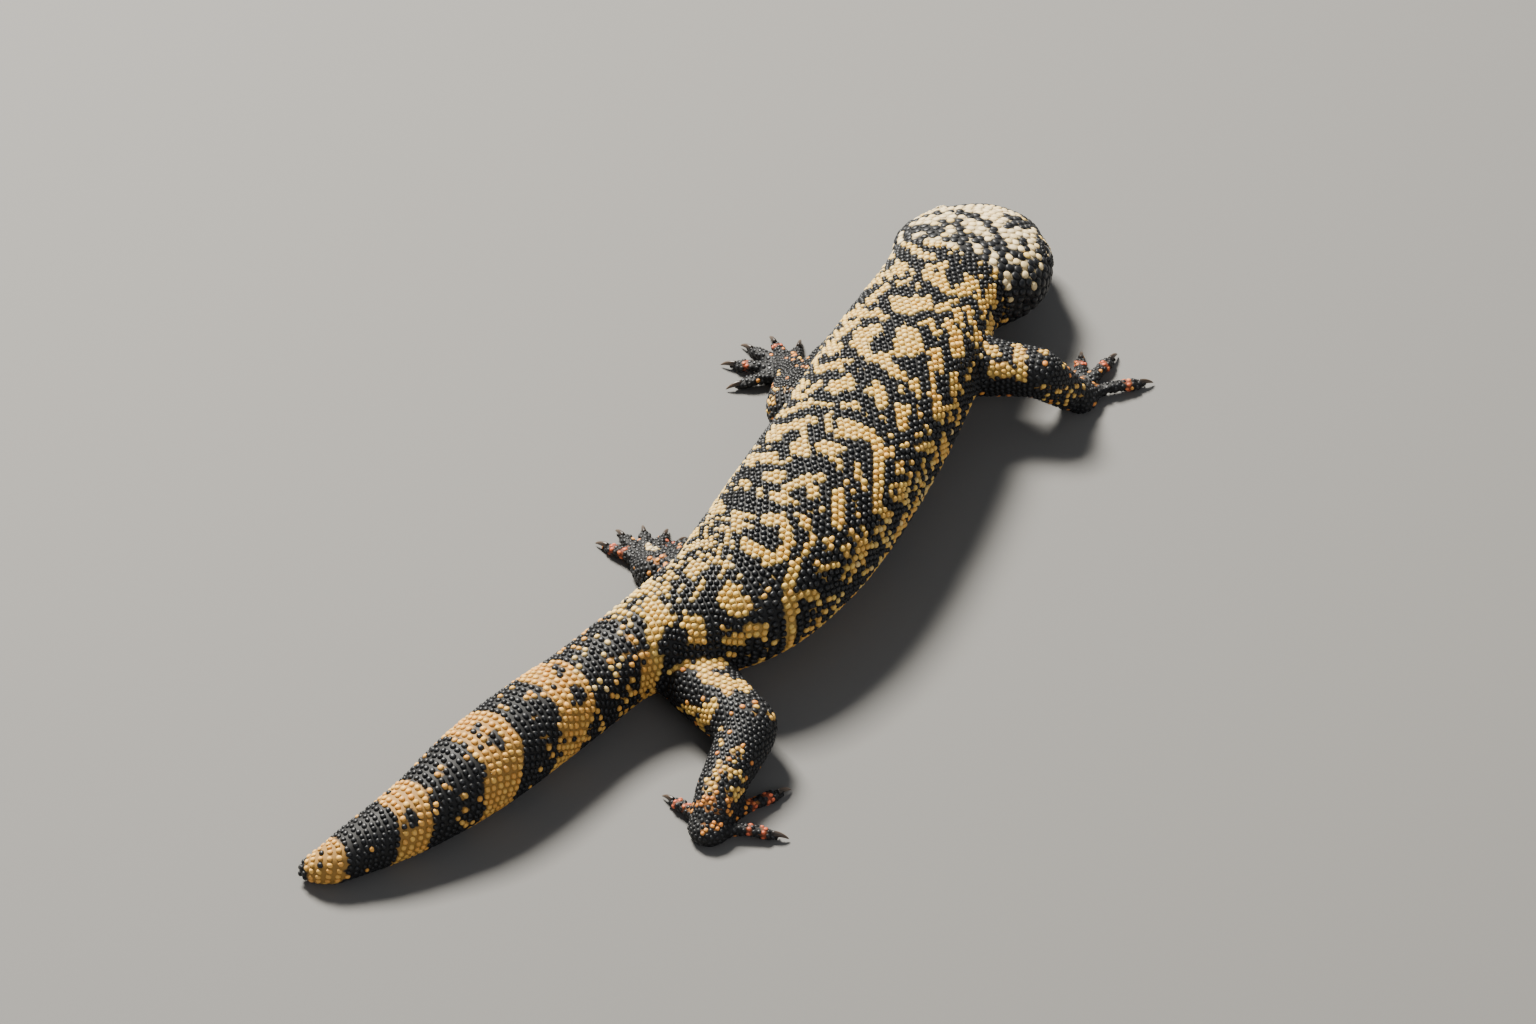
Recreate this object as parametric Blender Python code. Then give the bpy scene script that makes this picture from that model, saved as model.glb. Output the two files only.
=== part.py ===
"""Gila monster, life size, caught in mid step: a still model parted into its named sub-parts.

Lengths are millimetres until a mesh is made, and meshes are in metres. The animal walks along +Y,
its right side is +X, and the floor is z = 0. Body and limbs are lofts along smooth centrelines, cut
apart by planes across them. Beads stand on every node of hide as low pyramids of the loft's own grid.
"""

import math
from collections.abc import Callable, Sequence
from dataclasses import dataclass

import bmesh
import bpy
import numpy as np
from mathutils import Matrix, Vector

METRE = 0.001
GAP = 0.3
CUT_DEPTH = 60.0

# The walking line is measured from a mark under the shoulders, and this puts the footprint's middle at 0, 0.
FOOTPRINT = Vector((-24.9, 42.6, 0.0))

SQUARENESS = 2.25
BODY_COLUMNS = 40
BODY_RING_PITCH = 5.0
TAIL_COLUMNS = 26
TAIL_RING_PITCH = 4.6
HEAD_RING_PITCH = 3.4
LIMB_COLUMNS = 14
LIMB_RING_PITCH = 3.6

BEAD_HEIGHT = 1.0
TAIL_BEAD_HEIGHT = 0.8
HEAD_BEAD_HEIGHT = 0.5
LIMB_BEAD_HEIGHT = 0.55
TOE_BEAD_HEIGHT = 0.25
BELLY_SHARE = 0.25

Ray = tuple[Vector, Vector, Vector, Vector]


@dataclass(frozen=True)
class Station:
    """One section across the spine: its middle, then its half width, rise above and drop below."""

    x: float
    y: float
    z: float
    wide: float
    rise: float
    drop: float


SPINE = {
    "tail_tip": Station(-12.6, -266.6, 2.4, 2.0, 2.2, 2.2),
    "tail_cap": Station(-9.0, -264.2, 4.6, 4.9, 5.0, 5.0),
    "tail_8": Station(-2.6, -259.0, 7.0, 7.7, 7.7, 7.4),
    "tail_7": Station(1.3, -248.8, 9.0, 9.6, 9.6, 9.5),
    "tail_6": Station(5.5, -237.8, 11.0, 11.6, 11.6, 11.5),
    "tail_5": Station(9.4, -223.8, 12.6, 13.2, 13.2, 13.1),
    "tail_4": Station(13.4, -199.6, 15.9, 16.4, 16.5, 16.4),
    "tail_3": Station(16.2, -164.0, 16.9, 17.4, 17.3, 17.4),
    "tail_2": Station(18.2, -136.2, 16.6, 16.5, 15.8, 17.0),
    "tail_1": Station(21.8, -111.1, 19.5, 17.0, 16.2, 17.0),
    "pelvis": Station(30.9, -89.7, 23.5, 23.0, 19.0, 18.5),
    "loin": Station(38.0, -71.5, 26.0, 28.2, 21.5, 21.0),
    "flank_3": Station(38.0, -44.2, 28.0, 32.0, 23.5, 23.0),
    "flank_2": Station(33.0, -13.7, 29.0, 33.2, 24.5, 24.0),
    "flank_1": Station(24.3, 22.6, 29.0, 32.6, 24.5, 24.0),
    "chest": Station(14.2, 57.0, 28.5, 31.2, 24.0, 23.0),
    "shoulders": Station(6.4, 80.0, 28.0, 29.8, 23.0, 22.0),
    "neck_1": Station(-0.1, 98.6, 27.6, 27.2, 21.0, 20.0),
    "neck_2": Station(-6.2, 118.0, 27.0, 25.2, 19.0, 19.5),
    "nape": Station(-7.9, 126.4, 26.2, 26.8, 18.2, 19.0),
    "temples": Station(-9.5, 138.2, 24.6, 32.2, 17.6, 18.0),
    "jaws": Station(-11.5, 150.2, 22.2, 31.6, 17.0, 16.6),
    "brows": Station(-13.2, 160.2, 19.8, 27.4, 15.6, 14.6),
    "bridge": Station(-14.6, 169.8, 17.2, 21.2, 13.0, 12.0),
    "nose": Station(-14.9, 177.0, 15.2, 14.2, 9.8, 9.6),
    "lips": Station(-15.4, 181.4, 14.0, 8.4, 6.0, 6.6),
    "snout": Station(-15.6, 183.0, 13.5, 3.8, 2.8, 3.2),
}

BODY_CUTS = {
    "tail_tip": ("tail_tip", "tail_6"),
    "tail_middle": ("tail_6", "tail_3"),
    "tail_base": ("tail_3", "tail_1"),
    "torso_rear": ("tail_1", "flank_3"),
    "torso_mid": ("flank_3", "flank_1"),
    "torso_fore": ("flank_1", "shoulders"),
    "neck": ("shoulders", "nape"),
}


class Track:
    """A smooth centreline with the size of the section at each distance along it."""

    def __init__(self, rows: Sequence[Sequence[float]]) -> None:
        self.rows = np.array(rows, float)
        steps = np.linalg.norm(np.diff(self.rows[:, :3], axis=0), axis=1)
        self.knots = np.concatenate([[0.0], np.cumsum(steps)])
        self.slopes = np.gradient(self.rows, self.knots, axis=0)

    def values(self, along: float) -> np.ndarray:
        """The centre and the section sizes at a distance along the centreline."""
        last = len(self.knots) - 2
        index = int(np.clip(np.searchsorted(self.knots, along) - 1, 0, last))
        span = self.knots[index + 1] - self.knots[index]
        t = float(np.clip((along - self.knots[index]) / span, 0.0, 1.0))
        start, end = self.rows[index], self.rows[index + 1]
        start_slope = self.slopes[index] * span
        end_slope = self.slopes[index + 1] * span
        return (
            (2 * t**3 - 3 * t**2 + 1) * start
            + (t**3 - 2 * t**2 + t) * start_slope
            + (3 * t**2 - 2 * t**3) * end
            + (t**3 - t**2) * end_slope
        )

    def frame(self, along: float) -> Ray:
        """The centre, and the ways forward, to the right and up, at a distance along it."""
        reach = 1.0
        low = max(along - reach, 0.0)
        high = min(along + reach, self.knots[-1])
        forward = Vector(self.values(high)[:3] - self.values(low)[:3]).normalized()
        right = forward.cross(Vector((0.0, 0.0, 1.0))).normalized()
        return Vector(self.values(along)[:3]), forward, right, right.cross(forward)


def spine_track() -> Track:
    return Track([(s.x, s.y, s.z, s.wide, s.rise, s.drop) for s in SPINE.values()])


def spine_distance(track: Track, name: str) -> float:
    return float(track.knots[list(SPINE).index(name)])


def rounded(share: float) -> float:
    """A cosine or sine drawn out towards a square, for a section fuller than an ellipse."""
    return math.copysign(abs(share) ** (2.0 / SQUARENESS), share)


def beads(height: float) -> Callable[[int, int, float], float]:
    """Relief that raises every other point of the grid, less on the belly, where plates lie flat."""

    def raise_by(ring: int, column: int, upward: float) -> float:
        if (ring + column) % 2:
            return 0.0
        under = min(max(-upward * 1.6, 0.0), 1.0)
        return height * (1.0 - under * (1.0 - BELLY_SHARE))

    return raise_by


def loft(
    track: Track,
    start: float,
    end: float,
    pitch: float,
    columns: int,
    relief: Callable[[int, int, float], float],
    grow: float = 0.0,
) -> bmesh.types.BMesh:
    """A closed tube between two distances along a track, with flat ends across it."""
    rings = max(int(round((end - start) / pitch)), 2)
    mesh = bmesh.new()
    rows = []
    for ring in range(rings + 1):
        along = start + (end - start) * ring / rings
        centre, _, right, up = track.frame(along)
        wide, rise, drop = track.values(along)[3:6]
        inner = 0 < ring < rings
        row = []
        for column in range(columns):
            angle = 2.0 * math.pi * column / columns
            across, upward = rounded(math.cos(angle)), rounded(math.sin(angle))
            extra = grow + (relief(ring, column, upward) if inner else 0.0)
            height = rise if upward > 0.0 else drop
            point = centre + right * across * (wide + extra) + up * upward * (height + extra)
            point.z = max(point.z, 0.0 if grow == 0.0 else -grow)
            row.append(mesh.verts.new((point + FOOTPRINT) * METRE))
        rows.append(row)
    for ring in range(rings):
        for column in range(columns):
            after = (column + 1) % columns
            low_left, low_right = rows[ring][column], rows[ring][after]
            high_left, high_right = rows[ring + 1][column], rows[ring + 1][after]
            if (ring + column) % 2:
                mesh.faces.new((low_left, high_left, high_right))
                mesh.faces.new((low_left, high_right, low_right))
            else:
                mesh.faces.new((low_left, high_left, low_right))
                mesh.faces.new((low_right, high_left, high_right))
    mesh.faces.new(rows[0])
    mesh.faces.new(rows[-1][::-1])
    bmesh.ops.recalc_face_normals(mesh, faces=mesh.faces)
    return mesh


@dataclass(frozen=True)
class Finish:
    """One material of the plain model."""

    name: str
    colour: tuple[float, float, float]
    roughness: float


HIDE = Finish("beaded_hide", (0.42, 0.22, 0.10), 0.55)
DARK_HIDE = Finish("dark_hide", (0.025, 0.024, 0.022), 0.45)
EYE = Finish("eye", (0.012, 0.010, 0.009), 0.1)


def material(finish: Finish) -> bpy.types.Material:
    """The Principled material of a finish, made once."""
    found = bpy.data.materials.get(finish.name)
    if found is not None:
        return found
    made = bpy.data.materials.new(finish.name)
    made.use_nodes = True
    shader = made.node_tree.nodes["Principled BSDF"]
    shader.inputs["Base Color"].default_value = (*finish.colour, 1.0)
    shader.inputs["Roughness"].default_value = finish.roughness
    shader.inputs["Metallic"].default_value = 0.0
    return made


def collection(name: str) -> bpy.types.Collection:
    """A collection of the scene, made once."""
    found = bpy.data.collections.get(name)
    if found is not None:
        return found
    made = bpy.data.collections.new(name)
    bpy.context.scene.collection.children.link(made)
    return made


def add_part(name: str, mesh: bmesh.types.BMesh, finish: Finish) -> bpy.types.Object:
    """A named object of the model made from a bmesh, which is freed."""
    data = bpy.data.meshes.new(name)
    mesh.to_mesh(data)
    mesh.free()
    data.materials.append(material(finish))
    part = bpy.data.objects.new(name, data)
    collection("gila_monster").objects.link(part)
    return part


def add_helper(name: str, mesh: bmesh.types.BMesh, group: str) -> bpy.types.Object:
    """A cutter, or a piece that is to be joined, which isn't part of the model itself."""
    data = bpy.data.meshes.new(name)
    mesh.to_mesh(data)
    mesh.free()
    helper = bpy.data.objects.new(name, data)
    helper.display_type = "WIRE"
    helper.hide_render = True
    collection(group).objects.link(helper)
    return helper


def largest_body(mesh: bmesh.types.BMesh) -> None:
    """Keeps only the closed surface with the most volume."""
    waiting = set(mesh.verts)
    bodies = []
    while waiting:
        body = set()
        reach = [waiting.pop()]
        while reach:
            vert = reach.pop()
            body.add(vert)
            for edge in vert.link_edges:
                other = edge.other_vert(vert)
                if other in waiting:
                    waiting.discard(other)
                    reach.append(other)
        bodies.append(body)
    if len(bodies) < 2:
        return

    def spread(body: set[bmesh.types.BMVert]) -> float:
        points = np.array([vert.co for vert in body])
        return float(np.prod(points.max(axis=0) - points.min(axis=0)))

    kept = max(bodies, key=spread)
    scraps = [vert for vert in mesh.verts if vert not in kept]
    bmesh.ops.delete(mesh, geom=scraps, context="VERTS")


def apply_boolean(part: bpy.types.Object, operation: str, group: str, solver: str = "EXACT") -> None:
    """Joins or cuts a part with every object of a collection, then removes those objects."""
    helpers = collection(group)
    modifier = part.modifiers.new(operation.lower(), "BOOLEAN")
    modifier.operation = operation
    modifier.solver = solver
    modifier.operand_type = "COLLECTION"
    modifier.collection = helpers
    bpy.context.view_layer.update()
    graph = bpy.context.evaluated_depsgraph_get()
    result = bpy.data.meshes.new_from_object(part.evaluated_get(graph))
    part.modifiers.clear()
    cleaned = bmesh.new()
    cleaned.from_mesh(result)
    largest_body(cleaned)
    cleaned.to_mesh(result)
    cleaned.free()
    old = part.data
    part.data = result
    result.name = part.name
    bpy.data.meshes.remove(old)
    for helper in list(helpers.objects):
        bpy.data.objects.remove(helper)


def box(size: Sequence[float], place: Matrix) -> bmesh.types.BMesh:
    """A box of the given sides, in millimetres, carried by a matrix in the walking frame."""
    mesh = bmesh.new()
    bmesh.ops.create_cube(mesh, size=1.0)
    return carried(mesh, place @ Matrix.Diagonal((*size, 1.0)))


def ball(radii: Sequence[float], place: Matrix, segments: int = 14, rings: int = 9) -> bmesh.types.BMesh:
    """A ball or an ellipsoid of the given radii, carried by a matrix in the walking frame."""
    mesh = bmesh.new()
    bmesh.ops.create_uvsphere(mesh, u_segments=segments, v_segments=rings, radius=1.0)
    return carried(mesh, place @ Matrix.Diagonal((*radii, 1.0)))


def carried(mesh: bmesh.types.BMesh, place: Matrix) -> bmesh.types.BMesh:
    """The mesh moved by a matrix in millimetres, then into the model's frame in metres."""
    whole = Matrix.Diagonal((METRE, METRE, METRE, 1.0)) @ Matrix.Translation(FOOTPRINT) @ place
    bmesh.ops.transform(mesh, matrix=whole, verts=mesh.verts)
    return mesh


def aimed(at: Vector, outward: Vector, upward: Vector) -> Matrix:
    """A matrix whose Z points outward and whose Y lies nearest to upward."""
    z_axis = outward.normalized()
    x_axis = upward.cross(z_axis).normalized()
    y_axis = z_axis.cross(x_axis)
    turned = Matrix((x_axis, y_axis, z_axis)).transposed().to_4x4()
    return Matrix.Translation(at) @ turned


FLOOR_SLAB = (600.0, 600.0, 40.0)


def cut_flat(part: bpy.types.Object) -> None:
    """Takes off whatever lies below the floor, which leaves small flats on it."""
    slab = box(FLOOR_SLAB, Matrix.Translation((0.0, 0.0, -FLOOR_SLAB[2] / 2.0)))
    add_helper("floor_slab", slab, "cutters")
    apply_boolean(part, "DIFFERENCE", "cutters")


def build_body(track: Track) -> None:
    """The tail, the trunk and the neck, each a length of one loft."""
    for name, (rear, front) in BODY_CUTS.items():
        start = spine_distance(track, rear) + (GAP / 2.0 if rear != "tail_tip" else 0.0)
        end = spine_distance(track, front) - GAP / 2.0
        tail = name.startswith("tail")
        pitch = TAIL_RING_PITCH if tail else BODY_RING_PITCH
        columns = TAIL_COLUMNS if tail else BODY_COLUMNS
        height = TAIL_BEAD_HEIGHT if tail else BEAD_HEIGHT
        add_part(name, loft(track, start, end, pitch, columns, beads(height)), HIDE)


# The head is measured along its own axis from the nape, in millimetres.
MOUTH_CORNER = 26.0
MOUTH_DROP_BACK = -5.2
MOUTH_DROP_FRONT = -1.6
EYE_AT = 32.0
EYE_ASIDE = 22.6
EYE_RISE = 6.6
EYE_RADIUS = 4.2
LID_RADIUS = 1.35
NOSTRIL_AT = 52.0
NOSTRIL_ASIDE = 7.6
NOSTRIL_RISE = 4.2
NOSTRIL_RADII = (1.1, 1.5, 2.6)
EAR_AT = 8.5
EAR_ASIDE = 30.0
EAR_RISE = -1.5
EAR_RADII = (1.5, 3.8, 3.4)
EYE_OUTWARD = Vector((0.88, 0.28, 0.38))
NOSTRIL_OUTWARD = Vector((0.75, 0.55, 0.35))


class Head:
    """Places on the head, from the nape forward, to the side and up, in the walking frame."""

    def __init__(self, track: Track) -> None:
        self.track = track
        self.start = spine_distance(track, "nape") + GAP / 2.0
        self.length = float(track.knots[-1]) - self.start
        middle = spine_distance(track, "brows")
        _, self.forward, self.right, self.up = track.frame(middle)
        self.origin = track.frame(self.start)[0]

    def place(self, along: float, aside: float, rise: float) -> Vector:
        """A point measured from the centreline at a distance along the head."""
        centre, _, right, up = self.track.frame(self.start + along)
        return centre + right * aside + up * rise

    def heading(self, outward: Vector, side: int) -> Vector:
        """A direction given as rightward, forward and up, mirrored for the left side."""
        return self.right * outward.x * side + self.forward * outward.y + self.up * outward.z

    def mouth_slab(self, gap: float) -> bmesh.types.BMesh:
        """The room below the mouth line and ahead of its corner, made larger by a gap."""
        back = self.place(MOUTH_CORNER - gap, 0.0, MOUTH_DROP_BACK + gap)
        front = self.place(self.length, 0.0, MOUTH_DROP_FRONT + gap)
        forward = (front - back).normalized()
        up = self.right.cross(forward)
        middle = back + forward * CUT_DEPTH / 2.0 - up * CUT_DEPTH / 2.0
        turned = Matrix((self.right, forward, up)).transposed().to_4x4()
        return box((CUT_DEPTH * 2.0, CUT_DEPTH, CUT_DEPTH), Matrix.Translation(middle) @ turned)


def head_loft(track: Track, head: Head) -> bmesh.types.BMesh:
    end = float(track.knots[-1])
    return loft(track, head.start, end, HEAD_RING_PITCH, BODY_COLUMNS, beads(HEAD_BEAD_HEIGHT))


def ring_mesh(major: float, minor: float, place: Matrix) -> bmesh.types.BMesh:
    """A closed ring about its own Z axis, as a lid round an eye."""
    around, across = 16, 8
    mesh = bmesh.new()
    rows = []
    for step in range(around):
        turn = 2.0 * math.pi * step / around
        outward = Vector((math.cos(turn), math.sin(turn), 0.0))
        row = []
        for corner in range(across):
            tilt = 2.0 * math.pi * corner / across
            lift = Vector((0.0, 0.0, math.sin(tilt) * minor))
            row.append(mesh.verts.new(outward * (major + math.cos(tilt) * minor) + lift))
        rows.append(row)
    for step in range(around):
        after = (step + 1) % around
        for corner in range(across):
            beyond = (corner + 1) % across
            mesh.faces.new((rows[step][corner], rows[after][corner], rows[after][beyond], rows[step][beyond]))
    bmesh.ops.recalc_face_normals(mesh, faces=mesh.faces)
    return carried(mesh, place)


def build_head(track: Track) -> None:
    """The head with lids, eye sockets, nostrils and ear slits, the lower jaw, and both eyes."""
    head = Head(track)
    jaw = add_part("lower_jaw", head_loft(track, head), HIDE)
    add_helper("jaw_room", head.mouth_slab(0.0), "cutters")
    apply_boolean(jaw, "INTERSECT", "cutters")

    skull = add_part("head", head_loft(track, head), HIDE)
    for side in (-1, 1):
        at = head.place(EYE_AT, EYE_ASIDE * side, EYE_RISE)
        outward = head.heading(EYE_OUTWARD, side)
        rim = aimed(at + outward * 1.2, outward, head.up)
        add_helper("lid", ring_mesh(EYE_RADIUS - 0.1, LID_RADIUS, rim), "joined")
    apply_boolean(skull, "UNION", "joined")

    add_helper("jaw_room", head.mouth_slab(GAP), "cutters")
    for side in (-1, 1):
        at = head.place(EYE_AT, EYE_ASIDE * side, EYE_RISE)
        upright = aimed(at, head.heading(EYE_OUTWARD, side), head.up)
        socket = EYE_RADIUS + GAP
        add_helper("socket", ball((socket, socket, socket), upright), "cutters")
        nostril = head.place(NOSTRIL_AT, NOSTRIL_ASIDE * side, NOSTRIL_RISE)
        outward = head.heading(NOSTRIL_OUTWARD, side)
        add_helper("nostril", ball(NOSTRIL_RADII, aimed(nostril, outward, head.up), 10, 6), "cutters")
        ear = head.place(EAR_AT, EAR_ASIDE * side, EAR_RISE)
        slit = aimed(ear, head.right * side, head.up)
        add_helper("ear", ball(EAR_RADII, slit, 10, 6), "cutters")
    apply_boolean(skull, "DIFFERENCE", "cutters")

    for side, name in ((-1, "eye_left"), (1, "eye_right")):
        at = head.place(EYE_AT, EYE_ASIDE * side, EYE_RISE)
        upright = aimed(at, head.heading(EYE_OUTWARD, side), head.up)
        add_part(name, ball((EYE_RADIUS, EYE_RADIUS, EYE_RADIUS), upright), EYE)


@dataclass(frozen=True)
class Toe:
    """One toe: the way it points in degrees from +X, its length without the claw, and its arch."""

    heading: float
    length: float
    arch: float = 1.6


@dataclass(frozen=True)
class Limb:
    """One leg: its joints, its thickness at each, and the toes of its foot, from the inner one out."""

    root: tuple[float, float, float]
    middle: tuple[float, float, float]
    end: tuple[float, float, float]
    sole: tuple[float, float]
    radii: tuple[float, float, float, float]
    sole_size: tuple[float, float, float]
    toes: tuple[Toe, ...]


LIMBS = {
    "right_fore": Limb(
        (24.0, 93.0, 25.0), (50.0, 107.0, 25.0), (55.5, 119.5, 9.0), (56.5, 125.5),
        (11.5, 9.4, 9.4, 7.2), (9.2, 8.0, 5.4),
        (Toe(176.0, 14.0), Toe(150.0, 17.5), Toe(124.0, 20.0), Toe(98.0, 23.0), Toe(58.0, 22.5)),
    ),
    "left_fore": Limb(
        (-13.0, 68.0, 24.0), (-17.0, 36.0, 18.0), (-35.0, 62.0, 9.0), (-40.0, 67.0),
        (11.5, 9.8, 9.4, 7.2), (9.2, 8.0, 5.4),
        (Toe(120.0, 14.0), Toe(148.0, 17.5), Toe(174.0, 19.5), Toe(202.0, 20.5), Toe(232.0, 18.0)),
    ),
    "right_hind": Limb(
        (43.0, -102.0, 14.2), (80.0, -113.6, 15.5), (88.3, -144.1, 9.5), (93.0, -153.5),
        (12.6, 11.2, 10.2, 8.2), (9.6, 8.4, 5.6),
        (Toe(172.0, 17.0), Toe(134.0, 20.0), Toe(104.0, 25.0), Toe(75.0, 28.0), Toe(30.0, 20.0)),
    ),
    "left_hind": Limb(
        (23.0, -85.0, 20.0), (4.0, -50.0, 13.2), (-7.0, -62.5, 9.0), (-13.0, -56.0),
        (14.0, 10.2, 8.6, 7.0), (9.2, 8.2, 5.6),
        (Toe(94.0, 15.0), Toe(114.0, 16.5), Toe(136.0, 18.0), Toe(158.0, 19.0), Toe(180.0, 18.5)),
    ),
}

TOE_RADIUS = 2.6
TOE_TIP_RADIUS = 2.0
TOE_COLUMNS = 7
TOE_RING_PITCH = 4.6
CLAW_LENGTH = 6.0
CLAW_COLUMNS = 5
CLAW_RING_PITCH = 2.6
SOLE_RISE = 4.6
CUTTER_REACH = ("tail_3", "brows")
CUTTER_RING_PITCH = 4.0
CUTTER_COLUMNS = 48
CHORD_RISE = 0.1

# A toe's and a claw's stations: the share of the length, the height or its share, and the size or radius.
TOE_STATIONS = ((0.0, 0.0, 1.12), (0.35, 1.0, 1.0), (0.7, 0.7, 0.92), (0.92, 0.1, 0.9), (1.0, -0.2, 0.55))
CLAW_STATIONS = ((-0.35, 1.7, 0.9), (0.0, 2.3, 1.2), (0.45, 2.1, 0.9), (1.0, 0.75, 0.4))
TOE_SINK = 0.2


def segment_track(start: Vector, end: Vector, start_radius: float, end_radius: float) -> Track:
    """A straight length of limb with round ends that reach past both of its joints."""
    along = (end - start).normalized()
    length = (end - start).length
    rows = []
    for turn in (78.0, 55.0, 30.0):
        back, size = math.sin(math.radians(turn)), math.cos(math.radians(turn))
        rows.append((start - along * back * start_radius, start_radius * size))
    for share, swell in ((0.0, 1.0), (0.35, 1.04), (0.7, 1.0), (1.0, 1.0)):
        radius = (start_radius + (end_radius - start_radius) * share) * swell
        rows.append((start + along * length * share, radius))
    for turn in (30.0, 55.0, 78.0):
        ahead, size = math.sin(math.radians(turn)), math.cos(math.radians(turn))
        rows.append((end + along * ahead * end_radius, end_radius * size))
    return Track([(*centre, radius, radius, radius) for centre, radius in rows])


def segment(start: Vector, end: Vector, start_radius: float, end_radius: float) -> bmesh.types.BMesh:
    """A beaded length of limb between two joints."""
    track = segment_track(start, end, start_radius, end_radius)
    span = float(track.knots[-1])
    return loft(track, 0.0, span, LIMB_RING_PITCH, LIMB_COLUMNS, beads(LIMB_BEAD_HEIGHT))


def segment_cutter(start: Vector, end: Vector, start_radius: float, end_radius: float) -> bmesh.types.BMesh:
    """A smooth copy of a length of limb, larger by its beads and the gap."""
    clear = LIMB_BEAD_HEIGHT + GAP
    track = segment_track(start, end, start_radius + clear, end_radius + clear)
    span = float(track.knots[-1])
    return loft(track, 0.0, span, LIMB_RING_PITCH, LIMB_COLUMNS, beads(0.0))


def half_space(at: Vector, outward: Vector) -> bmesh.types.BMesh:
    """A large block whose near face passes half a gap short of a joint and faces away from outward."""
    near = at - outward.normalized() * (GAP / 2.0)
    side = aimed(near, outward, Vector((0.0, 0.0, 1.0)))
    middle = side @ Matrix.Translation((0.0, 0.0, CUT_DEPTH / 2.0))
    return box((CUT_DEPTH * 2.0, CUT_DEPTH * 2.0, CUT_DEPTH), middle)


def joint_normal(before: Vector, joint: Vector, after: Vector) -> Vector:
    """The way across a joint, from the part before it to the part after it."""
    return (joint - before).normalized() + (after - joint).normalized()


def toe_meshes(root: Vector, toe: Toe) -> list[bmesh.types.BMesh]:
    """A toe that arches off the sole and comes down at its tip, and its curved claw."""
    turn = math.radians(toe.heading)
    ahead = Vector((math.cos(turn), math.sin(turn), 0.0))
    rows = []
    for share, lift, size in TOE_STATIONS:
        thickness = TOE_RADIUS + (TOE_TIP_RADIUS - TOE_RADIUS) * share
        radius = thickness * size
        at = root + ahead * toe.length * share
        at.z = thickness + toe.arch * lift - TOE_SINK
        rows.append((*at, radius, radius, radius))
    track = Track(rows)
    pad = loft(track, 0.0, float(track.knots[-1]), TOE_RING_PITCH, TOE_COLUMNS, beads(TOE_BEAD_HEIGHT))

    tip = root + ahead * toe.length
    claw_rows = []
    for share, lift, radius in CLAW_STATIONS:
        at = tip + ahead * CLAW_LENGTH * share
        claw_rows.append((at.x, at.y, lift, radius, radius, radius))
    claw_track = Track(claw_rows)
    claw = loft(claw_track, 0.0, float(claw_track.knots[-1]), CLAW_RING_PITCH, CLAW_COLUMNS, beads(0.0))
    return [pad, claw]


def body_cutter(track: Track) -> None:
    """A smooth copy of the trunk grown by the beads and the gap, to be cut from what grows on it."""
    start, end = (spine_distance(track, name) for name in CUTTER_REACH)
    clear = GAP + BEAD_HEIGHT + CHORD_RISE
    grown = loft(track, start, end, CUTTER_RING_PITCH, CUTTER_COLUMNS, beads(0.0), clear)
    add_helper("grown_trunk", grown, "cutters")


def build_limb(track: Track, name: str, limb: Limb) -> None:
    """One leg as an upper length, a lower length and a foot, cut apart at its joints."""
    root, middle, end = Vector(limb.root), Vector(limb.middle), Vector(limb.end)
    sole = Vector((*limb.sole, SOLE_RISE - 0.8))
    bend = joint_normal(root, middle, end)
    root_radius, upper_radius, lower_radius, end_radius = limb.radii

    upper = add_part(name + "_upper", segment(root, middle, root_radius, upper_radius), HIDE)
    add_helper("past_joint", half_space(middle, bend), "cutters")
    body_cutter(track)
    apply_boolean(upper, "DIFFERENCE", "cutters")

    lower = add_part(name + "_lower", segment(middle, end, lower_radius, end_radius), DARK_HIDE)
    add_helper("before_joint", half_space(middle, -bend), "cutters")
    body_cutter(track)
    apply_boolean(lower, "DIFFERENCE", "cutters")

    heel = segment(end, sole, end_radius, end_radius * 0.8)
    foot = add_part(name + "_foot", heel, DARK_HIDE)
    pad_turn = Matrix.Rotation(math.radians(limb.toes[2].heading), 4, "Z")
    pad = ball(limb.sole_size, Matrix.Translation(sole) @ pad_turn, 12, 8)
    add_helper("pad", pad, "joined")
    for toe in limb.toes:
        turn = math.radians(toe.heading)
        toe_root = sole + Vector((math.cos(turn), math.sin(turn), 0.0)) * limb.sole_size[1] * 0.55
        for piece in toe_meshes(toe_root, toe):
            add_helper("toe", piece, "joined")
    apply_boolean(foot, "UNION", "joined")
    add_helper("grown_shank", segment_cutter(middle, end, lower_radius, end_radius), "cutters")
    body_cutter(track)
    apply_boolean(foot, "DIFFERENCE", "cutters")
    cut_flat(foot)


def clear_scene() -> None:
    for found in list(bpy.data.objects):
        bpy.data.objects.remove(found)


def main() -> None:
    clear_scene()
    track = spine_track()
    build_body(track)
    build_head(track)
    for name, limb in LIMBS.items():
        build_limb(track, name, limb)


main()
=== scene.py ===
"""The look of a life-size gila monster: one smooth hide under thousands of bead scales.

Lengths are metres unless a name says millimetres. The animal walks along +Y, its right side is +X and
the floor is z = 0. Places that are read off the picture are pixels of a 1536 by 1024 frame.
"""

import logging
import math
from collections.abc import Sequence
from dataclasses import dataclass, field
from enum import Enum

import bmesh
import bpy
import numpy as np
from mathutils import Matrix, Vector
from mathutils.bvhtree import BVHTree
from mathutils.kdtree import KDTree


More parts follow.
